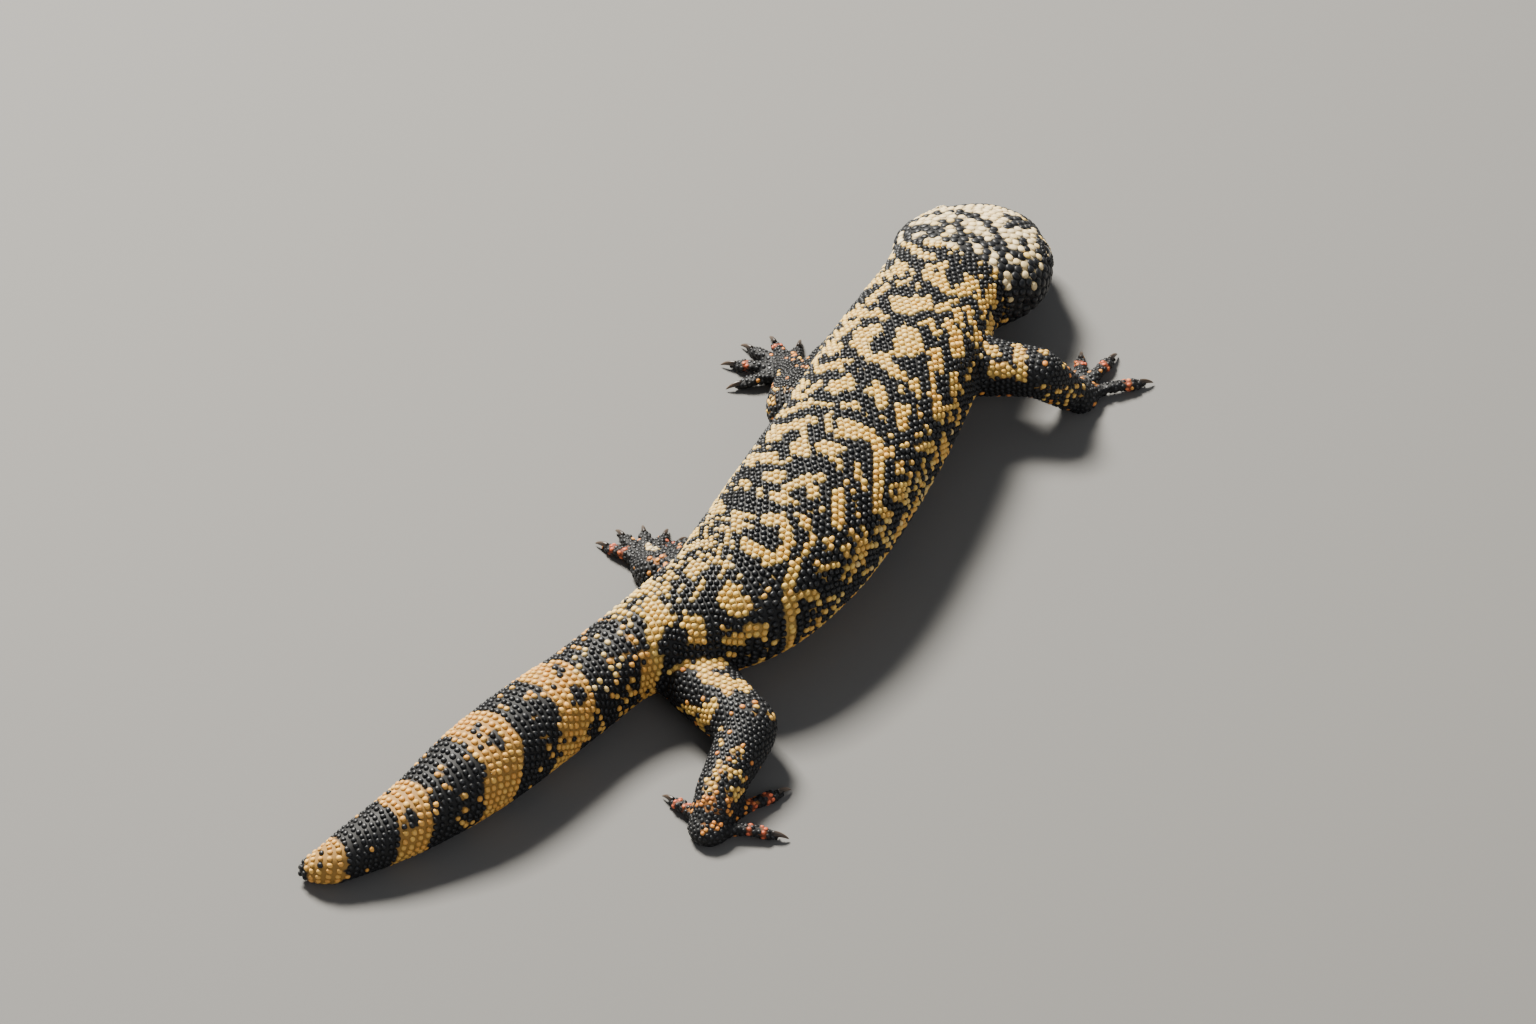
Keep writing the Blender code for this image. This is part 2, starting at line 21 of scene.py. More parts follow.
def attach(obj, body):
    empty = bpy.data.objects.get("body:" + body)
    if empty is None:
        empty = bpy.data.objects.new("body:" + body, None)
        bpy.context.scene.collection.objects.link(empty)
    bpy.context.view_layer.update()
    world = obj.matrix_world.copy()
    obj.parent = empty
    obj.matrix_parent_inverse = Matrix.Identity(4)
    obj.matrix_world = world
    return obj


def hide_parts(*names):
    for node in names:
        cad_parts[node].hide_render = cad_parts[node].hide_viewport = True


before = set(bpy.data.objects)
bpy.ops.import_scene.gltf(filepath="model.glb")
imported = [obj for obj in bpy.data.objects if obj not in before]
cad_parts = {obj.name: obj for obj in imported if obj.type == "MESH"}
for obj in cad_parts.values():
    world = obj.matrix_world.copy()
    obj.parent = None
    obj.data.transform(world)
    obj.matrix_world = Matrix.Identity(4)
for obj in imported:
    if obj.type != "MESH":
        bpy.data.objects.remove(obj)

LOG = logging.getLogger("gila_monster")
Array = np.ndarray
Point = tuple[float, float, float]
Pixel = tuple[float, float]
MM = 0.001
UP = np.array([0.0, 0.0, 1.0])
SIDES = (-1, 1)
# Which random numbers each use takes.
FILL_SEED = 20
DRAW_SEED = 21
JITTER_SEED = 22
OUTLINE_SEED = 23
BLOTCH_SEED = 11
FLECK_SEED = 12
RING_SEED = 3


class Zone(Enum):
    """The named lengths of the animal, each of which carries its own scales."""

    TAIL_TIP = "tail_tip"
    TAIL_MIDDLE = "tail_middle"
    TAIL_BASE = "tail_base"
    TORSO_REAR = "torso_rear"
    TORSO_MID = "torso_mid"
    TORSO_FORE = "torso_fore"
    NECK = "neck"
    HEAD = "head"
    LEG = "leg"
    FOOT = "foot"


ZONES = tuple(Zone)
TAIL = (Zone.TAIL_TIP, Zone.TAIL_MIDDLE, Zone.TAIL_BASE)
TRUNK = (Zone.TORSO_REAR, Zone.TORSO_MID, Zone.TORSO_FORE, Zone.NECK)
LEGS = ("right_fore", "left_fore", "right_hind", "left_hind")


def zone_of(node: str) -> Zone:
    """The zone that a node of the frame belongs to.

    Args:
        node: The node's name.

    Returns:
        Its zone, where the jaw counts with the head and both lengths of a leg are one.
    """
    if node.endswith("_foot"):
        return Zone.FOOT
    if node.endswith(("_upper", "_lower")):
        return Zone.LEG
    return Zone.HEAD if node == "lower_jaw" else Zone(node)


def is_in(zones: Array, *wanted: Zone) -> Array:
    """Whether each index of a zone stands for one of those wanted."""
    return np.isin(zones, [ZONES.index(zone) for zone in wanted])


def unit(vectors: Array) -> Array:
    """Rows scaled to length one."""
    return vectors / np.maximum(np.linalg.norm(vectors, axis=-1, keepdims=True), 1e-12)


def eased(share: Array) -> Array:
    """Shares from 0 to 1 that start and end slowly."""
    return share * share * (3.0 - 2.0 * share)


def smooth_step(values: Array, low: float, high: float) -> Array:
    """Values eased from 0 at low to 1 at high."""
    return eased(np.clip((values - low) / (high - low), 0.0, 1.0))


def bell(values: Array, width: float) -> Array:
    """1 at 0, falling away on both sides over a width."""
    return np.exp(-((values / width) ** 2))


# Whole numbers that scramble a corner of the lattice and a seed into a value.
CORNER_PRIMES = (73856093, 19349663, 83492791)
SEED_PRIME = 7919
MIX_PRIME = 1274126177
LOW_BITS = 0xFFFF


def lattice_noise(places: Array, seed: int) -> Array:
    """Smooth noise from -1 to 1 with features about one unit across.

    Args:
        places: Points with two or three coordinates a row.
        seed: Which of the many like patterns to take.

    Returns:
        One value a row.
    """
    base = np.floor(places).astype(np.int64)
    share = eased(places - base)
    primes = np.array(CORNER_PRIMES[: places.shape[1]])
    total = np.zeros(len(places))
    for corner in np.ndindex(*(2,) * places.shape[1]):
        step = np.array(corner)
        mixed = ((base + step) * primes).sum(axis=1) + seed * SEED_PRIME
        mixed = (mixed ^ (mixed >> 13)) * MIX_PRIME
        value = ((mixed ^ (mixed >> 16)) & LOW_BITS) / (LOW_BITS / 2.0) - 1.0
        total += value * np.prod(np.where(step == 1, share, 1.0 - share), axis=1)
    return total


# How many points are measured at a time, to spare memory.
BLOCK = 8192


@dataclass
class Line:
    """A smooth line through its points, measured in metres from its first one."""

    points: Sequence[Point]
    shift: Point = (0.0, 0.0, 0.0)
    rows: Array = field(init=False)
    knots: Array = field(init=False)
    slopes: Array = field(init=False)

    def __post_init__(self) -> None:
        """Works out the distances along the line and its slopes."""
        self.rows = (np.array(self.points, float) + np.array(self.shift)) * MM
        steps = np.linalg.norm(np.diff(self.rows, axis=0), axis=1)
        self.knots = np.concatenate([[0.0], np.cumsum(steps)])
        self.slopes = np.gradient(self.rows, self.knots, axis=0)

    @property
    def length(self) -> float:
        """The whole length of the line."""
        return float(self.knots[-1])

    def at(self, along: Array) -> Array:
        """The points of the line at distances along it.

        Args:
            along: Distances from the first point.

        Returns:
            One point a row.
        """
        index = np.clip(np.searchsorted(self.knots, along) - 1, 0, len(self.knots) - 2)
        span = (self.knots[index + 1] - self.knots[index])[:, None]
        t = np.clip((along - self.knots[index])[:, None] / span, 0.0, 1.0)
        ends = self.rows[index], self.rows[index + 1]
        slopes = self.slopes[index] * span, self.slopes[index + 1] * span
        return (
            (2 * t**3 - 3 * t**2 + 1) * ends[0]
            + (t**3 - 2 * t**2 + t) * slopes[0]
            + (3 * t**2 - 2 * t**3) * ends[1]
            + (t**3 - t**2) * slopes[1]
        )

    def axes(self, along: Array) -> tuple[Array, Array, Array]:
        """The ways forward, to the right and up at distances along the line."""
        ahead, behind = np.minimum(along + MM, self.length), np.maximum(along - MM, 0.0)
        forward = unit(self.at(ahead) - self.at(behind))
        right = unit(np.cross(forward, UP))
        return forward, right, np.cross(right, forward)

    def stand(self, along: float) -> tuple[Array, Array, Array, Array]:
        """The point at one distance along the line, and the ways forward, to the right and up there."""
        where = np.array([along])
        return (self.at(where)[0], *(axis[0] for axis in self.axes(where)))

    def measure(self, places: Array) -> tuple[Array, Array, Array]:
        """Where points lie beside the line.

        Args:
            places: One point a row.

        Returns:
            The distance along the line, then to the right of it, then above it.
        """
        steps = np.linspace(0.0, self.length, int(self.length / MM) + 1)
        line = self.at(steps)
        nearest = np.empty(len(places), np.int64)
        for start in range(0, len(places), BLOCK):
            block = places[start : start + BLOCK]
            gaps = (block**2).sum(1)[:, None] - 2.0 * block @ line.T + (line**2).sum(1)[None, :]
            nearest[start : start + BLOCK] = gaps.argmin(axis=1)
        along = steps[nearest]
        forward, right, up = self.axes(along)
        away = places - line[nearest]
        along = along + (away * forward).sum(axis=1)
        return along, (away * right).sum(axis=1), (away * up).sum(axis=1)


# The frame's origin is the middle of the footprint, and the walking line starts under the shoulders.
FOOTPRINT = (-24.9, 42.6, 0.0)

SPINE = {
    "tail_tip": (-12.6, -266.6, 2.4),
    "tail_cap": (-9.0, -264.2, 4.6),
    "tail_8": (-2.6, -259.0, 7.0),
    "tail_7": (1.3, -248.8, 9.0),
    "tail_6": (5.5, -237.8, 11.0),
    "tail_5": (9.4, -223.8, 12.6),
    "tail_4": (13.4, -199.6, 15.9),
    "tail_3": (16.2, -164.0, 16.9),
    "tail_2": (18.2, -136.2, 16.6),
    "tail_1": (21.8, -111.1, 19.5),
    "pelvis": (30.9, -89.7, 23.5),
    "loin": (38.0, -71.5, 26.0),
    "flank_3": (38.0, -44.2, 28.0),
    "flank_2": (33.0, -13.7, 29.0),
    "flank_1": (24.3, 22.6, 29.0),
    "chest": (14.2, 57.0, 28.5),
    "shoulders": (6.4, 80.0, 28.0),
    "neck_1": (-0.1, 98.6, 27.6),
    "neck_2": (-6.2, 118.0, 27.0),
    "nape": (-7.9, 126.4, 26.2),
    "temples": (-9.5, 138.2, 24.6),
    "jaws": (-11.5, 150.2, 22.2),
    "brows": (-13.2, 160.2, 19.8),
    "bridge": (-14.6, 169.8, 17.2),
    "nose": (-14.9, 177.0, 15.2),
    "lips": (-15.4, 181.4, 14.0),
    "snout": (-15.6, 183.0, 13.5),
}
BACK = Line(tuple(SPINE.values()), FOOTPRINT)


def spine_at(name: str) -> float:
    """The distance of a station from the tip of the tail."""
    return float(BACK.knots[list(SPINE).index(name)])


@dataclass(frozen=True)
class Toe:
    """One toe: the way it points in degrees from +X and its length without the claw, in millimetres."""

    heading: float
    length: float


# How high the middle of a toe lies, in millimetres.
TOE_HEIGHT = 2.3


@dataclass(frozen=True)
class Leg:
    """One leg's joints, the middle of its sole, its girth at each joint and its toes, in millimetres."""

    root: Point
    middle: Point
    end: Point
    sole: Pixel
    radii: tuple[float, float, float, float]
    toe_ring: float
    toes: tuple[Toe, ...]

    def point(self, name: str) -> Array:
        """One of the joints in the frame, in metres."""
        return (np.array(getattr(self, name)) + np.array(FOOTPRINT)) * MM

    def toe_line(self, toe: Toe) -> tuple[Array, Array]:
        """Where a toe starts and where it ends, at the height of its middle."""
        turn = math.radians(toe.heading)
        ahead = np.array([math.cos(turn), math.sin(turn), 0.0])
        start = np.array([*self.sole, TOE_HEIGHT]) + np.array(FOOTPRINT) + ahead * self.toe_ring
        return start * MM, (start + ahead * toe.length) * MM


LEG_PLAN = {
    "right_fore": Leg(
        (24.0, 93.0, 25.0), (50.0, 107.0, 25.0), (55.5, 119.5, 9.0), (56.5, 125.5),
        (11.5, 9.4, 9.4, 7.2), 4.4,
        (Toe(176.0, 14.0), Toe(150.0, 17.5), Toe(124.0, 20.0), Toe(98.0, 23.0), Toe(58.0, 22.5)),
    ),
    "left_fore": Leg(
        (-13.0, 68.0, 24.0), (-17.0, 36.0, 18.0), (-35.0, 62.0, 9.0), (-40.0, 67.0),
        (11.5, 9.8, 9.4, 7.2), 4.4,
        (Toe(120.0, 14.0), Toe(148.0, 17.5), Toe(174.0, 19.5), Toe(202.0, 20.5), Toe(232.0, 18.0)),
    ),
    "right_hind": Leg(
        (43.0, -102.0, 14.2), (80.0, -113.6, 15.5), (88.3, -144.1, 9.5), (93.0, -153.5),
        (12.6, 11.2, 10.2, 8.2), 4.62,
        (Toe(172.0, 17.0), Toe(134.0, 20.0), Toe(104.0, 25.0), Toe(75.0, 28.0), Toe(30.0, 20.0)),
    ),
    "left_hind": Leg(
        (23.0, -85.0, 20.0), (4.0, -50.0, 13.2), (-7.0, -62.5, 9.0), (-13.0, -56.0),
        (14.0, 10.2, 8.6, 7.0), 4.51,
        (Toe(94.0, 15.0), Toe(114.0, 16.5), Toe(136.0, 18.0), Toe(158.0, 19.0), Toe(180.0, 18.5)),
    ),
}


@dataclass(frozen=True)
class Pit:
    """An opening of the head: its place, how wide and deep it is, and how far round it no scale stands."""

    spot: Point
    radius: float
    depth: float
    bare: float


@dataclass(frozen=True)
class HeadPlan:
    """The head's forms in millimetres. A place counts forward from the nape, aside from its middle and up."""

    mouth_corner: float = 26.0
    mouth_back: float = -5.2
    mouth_front: float = -1.6
    mouth_width: float = 0.95
    mouth_depth: float = 1.7
    mouth_bare: float = 0.8
    eye: Point = (32.0, 22.6, 6.6)
    eye_radius: float = 4.2
    eye_bare: float = 4.0
    eye_outward: Point = (0.88, 0.28, 0.38)
    lid_radius: float = 4.4
    lid_width: float = 1.1
    lid_height: float = 0.7
    nostril: Pit = Pit((52.0, 7.6, 4.2), 1.7, 1.7, 1.5)
    ear: Pit = Pit((8.5, 30.0, -1.5), 2.6, 2.0, 2.4)

    def along(self, ahead: float) -> float:
        """The distance from the tip of the tail to a place ahead of the nape."""
        return spine_at("nape") + ahead * MM

    def place(self, spot: Point, side: int) -> Array:
        """A named spot in the frame, on the left for side -1 and on the right for 1."""
        middle, _, right, up = BACK.stand(self.along(spot[0]))
        return middle + (right * spot[1] * side + up * spot[2]) * MM

    def away(self, places: Array, spot: Point, side: int) -> Array:
        """How far points are from a named spot."""
        return np.linalg.norm(places - self.place(spot, side), axis=1)

    def eye_heading(self, side: int) -> Array:
        """The way that an eye looks."""
        _, forward, right, up = BACK.stand(spine_at("brows"))
        sideways, ahead, upward = self.eye_outward
        return unit(right * sideways * side + forward * ahead + up * upward)

    def eye_away(self, places: Array) -> Array:
        """How far points are from the nearer eye's middle."""
        return np.minimum(*(self.away(places, self.eye, side) for side in SIDES))

    def mouth_rise(self, along: Array) -> Array:
        """The height of the mouth line above the head's middle at distances along the spine."""
        start, end = self.along(self.mouth_corner), BACK.length
        share = (along - start) / (end - start)
        return (self.mouth_back + (self.mouth_front - self.mouth_back) * share) * MM


HEAD_PLAN = HeadPlan()


@dataclass(frozen=True)
class View:
    """The camera that sees the animal as the picture does."""

    azimuth: float = 38.0
    elevation: float = 42.0
    lens: float = 200.0
    sensor: float = 36.0
    distance: float = 3.3
    target: Point = (-0.0249, 0.0426, 0.0)
    width: float = 1536.0
    height: float = 1024.0

    @property
    def axes(self) -> tuple[Array, Array, Array]:
        """The ways to the right, up and forward of the picture."""
        turn, tilt = math.radians(self.azimuth), math.radians(self.elevation)
        level = math.cos(tilt)
        forward = np.array([-math.sin(turn) * level, math.cos(turn) * level, -math.sin(tilt)])
        right = np.array([math.cos(turn), math.sin(turn), 0.0])
        return right, np.cross(right, forward), forward

    @property
    def place(self) -> Array:
        """Where the camera stands."""
        return np.array(self.target) - self.axes[2] * self.distance

    def pixels(self, places: Array) -> Array:
        """Where points fall in the picture, as x and y pixels a row."""
        right, up, forward = self.axes
        away = places - self.place
        scale = self.width * self.lens / self.sensor / (away @ forward)
        x, y = (away @ right) * scale, (away @ up) * scale
        return np.stack([self.width / 2.0 + x, self.height / 2.0 - y], axis=1)

    def facing(self, places: Array, normals: Array) -> Array:
        """How squarely surfaces face the camera: 1 straight on, 0 edge on."""
        return (unit(self.place - places) * normals).sum(axis=1)

    def build(self) -> None:
        """Makes the camera and sets it as the scene's own."""
        data = bpy.data.cameras.new("view")
        data.lens = self.lens
        data.sensor_width = self.sensor
        data.clip_end = 20.0
        camera = bpy.data.objects.new("view", data)
        right, up, forward = self.axes
        turned = Matrix((right, up, -forward)).transposed().to_4x4()
        camera.matrix_world = Matrix.Translation(self.place) @ turned
        bpy.context.scene.collection.objects.link(camera)
        bpy.context.scene.camera = camera


VIEW = View()


@dataclass(frozen=True)
class Stroke:
    """A mark drawn along pixels of the picture with a brush of a width in pixels."""

    width: float
    path: tuple[Pixel, ...]

    def cover(self, pixels: Array) -> Array:
        """How far inside the brush's edge each pixel lies, in pixels, below 0 outside."""
        path = np.array(self.path, float)
        if len(path) == 1:
            path = np.repeat(path, 2, axis=0)
        best = np.full(len(pixels), np.inf)
        for start, end in zip(path[:-1], path[1:]):
            span = end - start
            share = ((pixels - start) @ span) / max(float(span @ span), 1e-9)
            gap = np.linalg.norm(pixels - start - np.clip(share, 0.0, 1.0)[:, None] * span, axis=1)
            best = np.minimum(best, gap)
        return self.width / 2.0 - best


@dataclass(frozen=True)
class Mottle:
    """A part of the back where pale scales are strewn among black ones, and how many of them are pale."""

    share: float
    stroke: Stroke


def lines(width: float, *paths: tuple[Pixel, ...]) -> tuple[Stroke, ...]:
    """Strokes of one width."""
    return tuple(Stroke(width, path) for path in paths)


def dots(width: float, *places: Pixel) -> tuple[Stroke, ...]:
    """Round spots of one width."""
    return lines(width, *((place,) for place in places))


HEAD_PALE = {
    "crown_rim": (
        *lines(9, ((905, 221), (914, 213), (935, 208), (960, 206), (1000, 207), (1028, 212), (1040, 221))),
        *lines(7, ((914, 224), (932, 219), (952, 215), (958, 210))),
        *lines(5, ((902, 227), (899, 241))),
    ),
    "crown": (
        *lines(13, ((964, 219), (977, 227), (988, 235)), ((1001, 232), (1030, 233))),
        *lines(12, ((972, 213), (992, 218), (1004, 227))),
        *lines(9, ((985, 211), (1020, 214))),
        *lines(8, ((1012, 220), (1028, 226)), ((970, 241), (977, 247), (984, 253))),
    ),
    "left_crown": (
        *lines(10, ((948, 232), (952, 231)), ((929, 242), (943, 244), (956, 247))),
        *lines(6, ((911, 238), (920, 233), (930, 231))),
        *lines(7, ((906, 246), (917, 252), (927, 259))),
        *lines(5, ((930, 258), (939, 257))),
        *dots(5, (939, 224), (949, 253), (969, 252), (981, 263), (961, 262), (957, 233), (936, 233)),
        *dots(5, (916, 226)),
    ),
    "right_crown": (
        *lines(8, ((993, 248), (993, 256)), ((1032, 245), (1031, 256)), ((1029, 222), (1033, 238))),
        *lines(9, ((992, 262), (995, 277)), ((1003, 245), (1015, 243))),
        *lines(6, ((1027, 262), (1024, 275))),
        *lines(7, ((1007, 256), (1010, 262))),
        *dots(5, (976, 267), (978, 277), (1017, 254), (1037, 232), (1042, 266), (1033, 284), (1029, 279)),
        *dots(5, (1012, 247), (1036, 247), (1020, 247), (1038, 256), (1035, 272), (1019, 262)),
    ),
}
NECK_PALE = {
    "nape": (
        *lines(9, ((897, 267), (907, 266))),
        *lines(6, ((900, 268), (902, 275)), ((881, 277), (903, 273))),
        *lines(4, ((880, 271), (874, 280)), ((882, 279), (871, 287))),
        *dots(6, (913, 274), (918, 288), (924, 277), (870, 304), (876, 302)),
        *lines(8, ((929, 267), (943, 266))),
        *lines(11, ((927, 275), (941, 284), (951, 292), (968, 292)), ((970, 279), (970, 290))),
        *lines(7, ((940, 266), (941, 282)), ((898, 284), (906, 284)), ((869, 300), (886, 287))),
    ),
    "right_neck": (
        *lines(14, ((990, 290), (991, 302))),
        *lines(9, ((1008, 277), (1008, 287))),
        *lines(6, ((976, 286), (981, 303), (983, 320))),
        *lines(10, ((989, 322), (988, 346))),
        *lines(7, ((993, 347), (994, 354))),
        *dots(4, (1003, 299), (1009, 299), (1004, 307), (1009, 309), (1004, 314), (1005, 321), (1002, 326)),
    ),
}
FORE_PALE = {
    "shoulder_bar": (
        *lines(15, ((896, 304), (925, 304))),
        *lines(6, ((900, 311), (915, 312))),
    ),
    "left_chains": (
        *lines(7, ((840, 323), (862, 308)), ((857, 317), (873, 314)), ((800, 400), (820, 384))),
        *lines(8, ((879, 314), (885, 318)), ((836, 337), (858, 322)), ((819, 371), (849, 361))),
        *lines(12, ((828, 350), (838, 350)), ((870, 391), (882, 397), (882, 405))),
        *lines(5, ((820, 344), (836, 343))),
        *lines(4, ((818, 358), (815, 370))),
        *dots(6, (860, 369), (841, 370)),
        *lines(15, ((834, 388), (850, 384))),
        *lines(10, ((876, 385), (880, 396))),
        *lines(9, ((794, 396), (804, 385))),
    ),
    "left_blotch": (
        *lines(14, ((859, 338), (878, 330))),
        *lines(9, ((856, 344), (868, 347)), ((877, 359), (899, 352))),
        *lines(13, ((866, 352), (872, 358))),
        *lines(11, ((882, 361), (892, 368), (895, 375))),
        *lines(7, ((895, 376), (905, 378))),
    ),
    "middle_blotch": (
        *lines(27, ((907, 340), (910, 345))),
        *dots(5, (906, 323)),
    ),
    "right_chains": (
        *lines(7, ((922, 323), (932, 321)), ((938, 309), (948, 306), (957, 302)), ((955, 310), (962, 325))),
        *lines(6, ((932, 325), (939, 338))),
        *lines(9, ((948, 325), (952, 329))),
        *lines(15, ((955, 334), (958, 351))),
        *lines(8, ((968, 309), (978, 340))),
        *dots(5, (968, 335), (971, 339), (976, 348), (977, 354), (962, 364), (968, 368), (972, 365)),
    ),
}
MID_PALE = {
    "right_strip": (
        *lines(12, ((938, 353), (939, 369)), ((920, 447), (929, 447))),
        *lines(8, ((932, 350), (933, 398)), ((943, 437), (943, 456))),
        *lines(11, ((935, 398), (940, 418)), ((914, 384), (918, 394))),
        *lines(9, ((953, 375), (953, 390))),
        *lines(6, ((959, 385), (962, 394)), ((965, 375), (965, 382)), ((947, 408), (950, 422))),
        *dots(7, (903, 391), (884, 420), (866, 414)),
        *lines(14, ((902, 409), (903, 425))),
        *lines(5, ((918, 406), (920, 420)), ((955, 403), (958, 415), (956, 424))),
        *dots(6, (926, 428), (930, 434), (917, 436), (904, 446)),
    ),
    "left_chains": (
        *lines(7, ((778, 416), (812, 403)), ((816, 405), (831, 405))),
        *lines(9, ((845, 406), (858, 407)), ((776, 432), (795, 425), (814, 421)), ((804, 431), (802, 446))),
        *lines(9, ((771, 438), (776, 438))),
        *lines(16, ((797, 449), (805, 449))),
        *lines(8, ((829, 416), (829, 430))),
    ),
    "saddle_arc": (
        *lines(14, ((842, 424), (851, 425)), ((839, 496), (839, 523))),
        *lines(10, ((840, 435), (855, 434))),
        *lines(12, ((856, 431), (868, 434), (877, 441), (880, 450), (880, 466))),
        *lines(11, ((880, 466), (879, 482), (876, 498), (877, 508), (888, 515))),
        *lines(15, ((822, 449), (837, 449))),
        *lines(8, ((832, 458), (838, 462), (840, 469)), ((899, 463), (899, 471))),
        *lines(8, ((855, 464), (858, 473), (865, 488))),
        *lines(7, ((887, 453), (893, 453))),
        *dots(6, (891, 436), (905, 446), (847, 484), (852, 493), (823, 477)),
        *lines(6, ((908, 474), (910, 481)), ((855, 501), (857, 514))),
    ),
    "left_bars": (
        *lines(10, ((788, 487), (804, 480), (819, 478))),
        *lines(12, ((812, 488), (816, 495)), ((748, 460), (753, 461)), ((762, 459), (773, 458))),
        *lines(13, ((771, 477), (779, 477))),
        *lines(4, ((779, 463), (790, 461))),
        *lines(15, ((778, 497), (785, 499))),
        *lines(6, ((790, 502), (796, 505))),
        *lines(8, ((761, 490), (761, 496))),
        *lines(9, ((743, 485), (747, 485))),
    ),
    "small_beads": (
        *dots(6, (811, 511), (821, 511), (893, 486), (905, 484), (913, 490), (910, 463)),
        *lines(7, ((901, 486), (901, 500))),
        *lines(6, ((892, 493), (894, 500)), ((918, 474), (922, 484))),
        *lines(4, ((922, 460), (924, 470)), ((936, 452), (932, 470)), ((916, 495), (908, 520))),
        *lines(4, ((905, 515), (899, 535)), ((898, 530), (885, 555)), ((876, 530), (870, 545))),
        *lines(5, ((880, 522), (885, 545))),
    ),
}
REAR_PALE = {
    "ring": (
        *lines(13, ((766, 520), (781, 520), (789, 529), (788, 545), (778, 556), (768, 561))),
        *lines(13, ((747, 547), (757, 549), (764, 557))),
        *lines(9, ((738, 525), (748, 525))),
        *lines(8, ((733, 515), (753, 516))),
        *lines(10, ((711, 510), (720, 511))),
        *lines(6, ((718, 502), (724, 506))),
    ),
    "mottle": (
        *dots(6, (721, 530), (729, 535), (738, 530), (742, 540), (727, 542), (665, 566), (673, 572)),
        *dots(6, (682, 563), (690, 574), (703, 578)),
        *lines(9, ((690, 567), (704, 566)), ((722, 565), (728, 565))),
    ),
    "chain": (
        *lines(9, ((801, 517), (807, 527), (813, 537), (810, 547), (802, 557), (796, 566), (791, 580))),
        *lines(9, ((791, 580), (789, 600)), ((864, 538), (864, 546))),
        *lines(14, ((790, 580), (790, 600))),
        *lines(13, ((790, 600), (791, 625), (787, 650))),
        *lines(11, ((798, 595), (814, 595))),
        *lines(8, ((828, 541), (828, 551)), ((850, 533), (858, 541)), ((857, 547), (862, 551))),
        *lines(7, ((845, 547), (849, 557))),
        *dots(6, (862, 527), (878, 526), (817, 572), (824, 577), (816, 564)),
        *lines(6, ((822, 570), (836, 563))),
    ),
    "flank_beads": (
        *dots(7, (821, 603), (829, 600), (814, 611), (824, 611), (832, 606), (817, 620), (818, 563)),
        *dots(7, (817, 573), (825, 578)),
        *dots(6, (808, 628), (801, 637), (810, 620), (766, 649), (761, 660), (753, 667), (744, 673)),
        *lines(5, ((846, 563), (842, 583)), ((854, 560), (849, 584)), ((862, 557), (866, 571))),
        *dots(5, (731, 654), (748, 655), (776, 640)),
    ),
    "hip_patches": (
        *lines(25, ((730, 598), (740, 606))),
        *lines(12, ((728, 588), (734, 590)), ((728, 640), (742, 641))),
        *lines(15, ((750, 629), (762, 631)), ((633, 590), (645, 586))),
        *lines(23, ((694, 625), (695, 637))),
        *dots(5, (739, 579), (758, 584), (767, 588), (773, 578), (762, 597), (759, 610)),
        *lines(6, ((724, 629), (730, 629))),
        *dots(8, (700, 587), (695, 595), (667, 587)),
    ),
    "tail_root_band": (
        *lines(18, ((653, 607), (655, 632), (655, 660), (652, 674))),
        *lines(15, ((665, 614), (670, 618))),
        *dots(6, (622, 612), (630, 620), (624, 630), (634, 640), (628, 652), (636, 662)),
    ),
}
BODY_DARK = {
    "left_notch": lines(8, ((874, 343), (884, 341))),
    "saddle_hole": lines(19, ((856, 451), (864, 449))),
    "ring_hole": (
        *lines(15, ((760, 533), (766, 536))),
        *lines(6, ((773, 529), (773, 550))),
    ),
    "hip_black": lines(20, ((668, 646), (680, 636))),
    "crown_lines": (
        *lines(5, ((960, 212), (974, 216), (986, 222), (998, 235))),
        *lines(5, ((1004, 216), (1016, 219), (1028, 224))),
        *lines(6, ((1008, 226), (1030, 226)), ((1022, 239), (1026, 246))),
        *lines(8, ((920, 228), (942, 231)), ((957, 222), (962, 238)), ((936, 252), (944, 260))),
        *lines(8, ((1014, 252), (1024, 258))),
        *lines(7, ((905, 240), (918, 244)), ((984, 240), (986, 260)), ((1000, 240), (1004, 260))),
        *lines(9, ((961, 243), (968, 258))),
    ),
}
MOTTLES = {
    "head": Mottle(0.1, Stroke(50, ((925, 238), (975, 240), (1020, 240)))),
    "neck_left": Mottle(0.1, Stroke(34, ((898, 275), (868, 305)))),
    "neck_right": Mottle(0.12, Stroke(26, ((985, 285), (985, 345)))),
    "left_rim": Mottle(0.1, Stroke(22, ((838, 318), (800, 378), (765, 435), (742, 470), (712, 510)))),
    "left_hip": Mottle(0.55, Stroke(44, ((722, 532), (700, 556), (668, 585), (632, 612)))),
    "tail_root": Mottle(0.4, Stroke(46, ((640, 612), (612, 650), (592, 672)))),
    "rear_back": Mottle(0.1, Stroke(60, ((735, 575), (690, 610)))),
    "right_flank": Mottle(0.2, Stroke(24, ((950, 440), (915, 500), (870, 560), (820, 612), (785, 640)))),
}
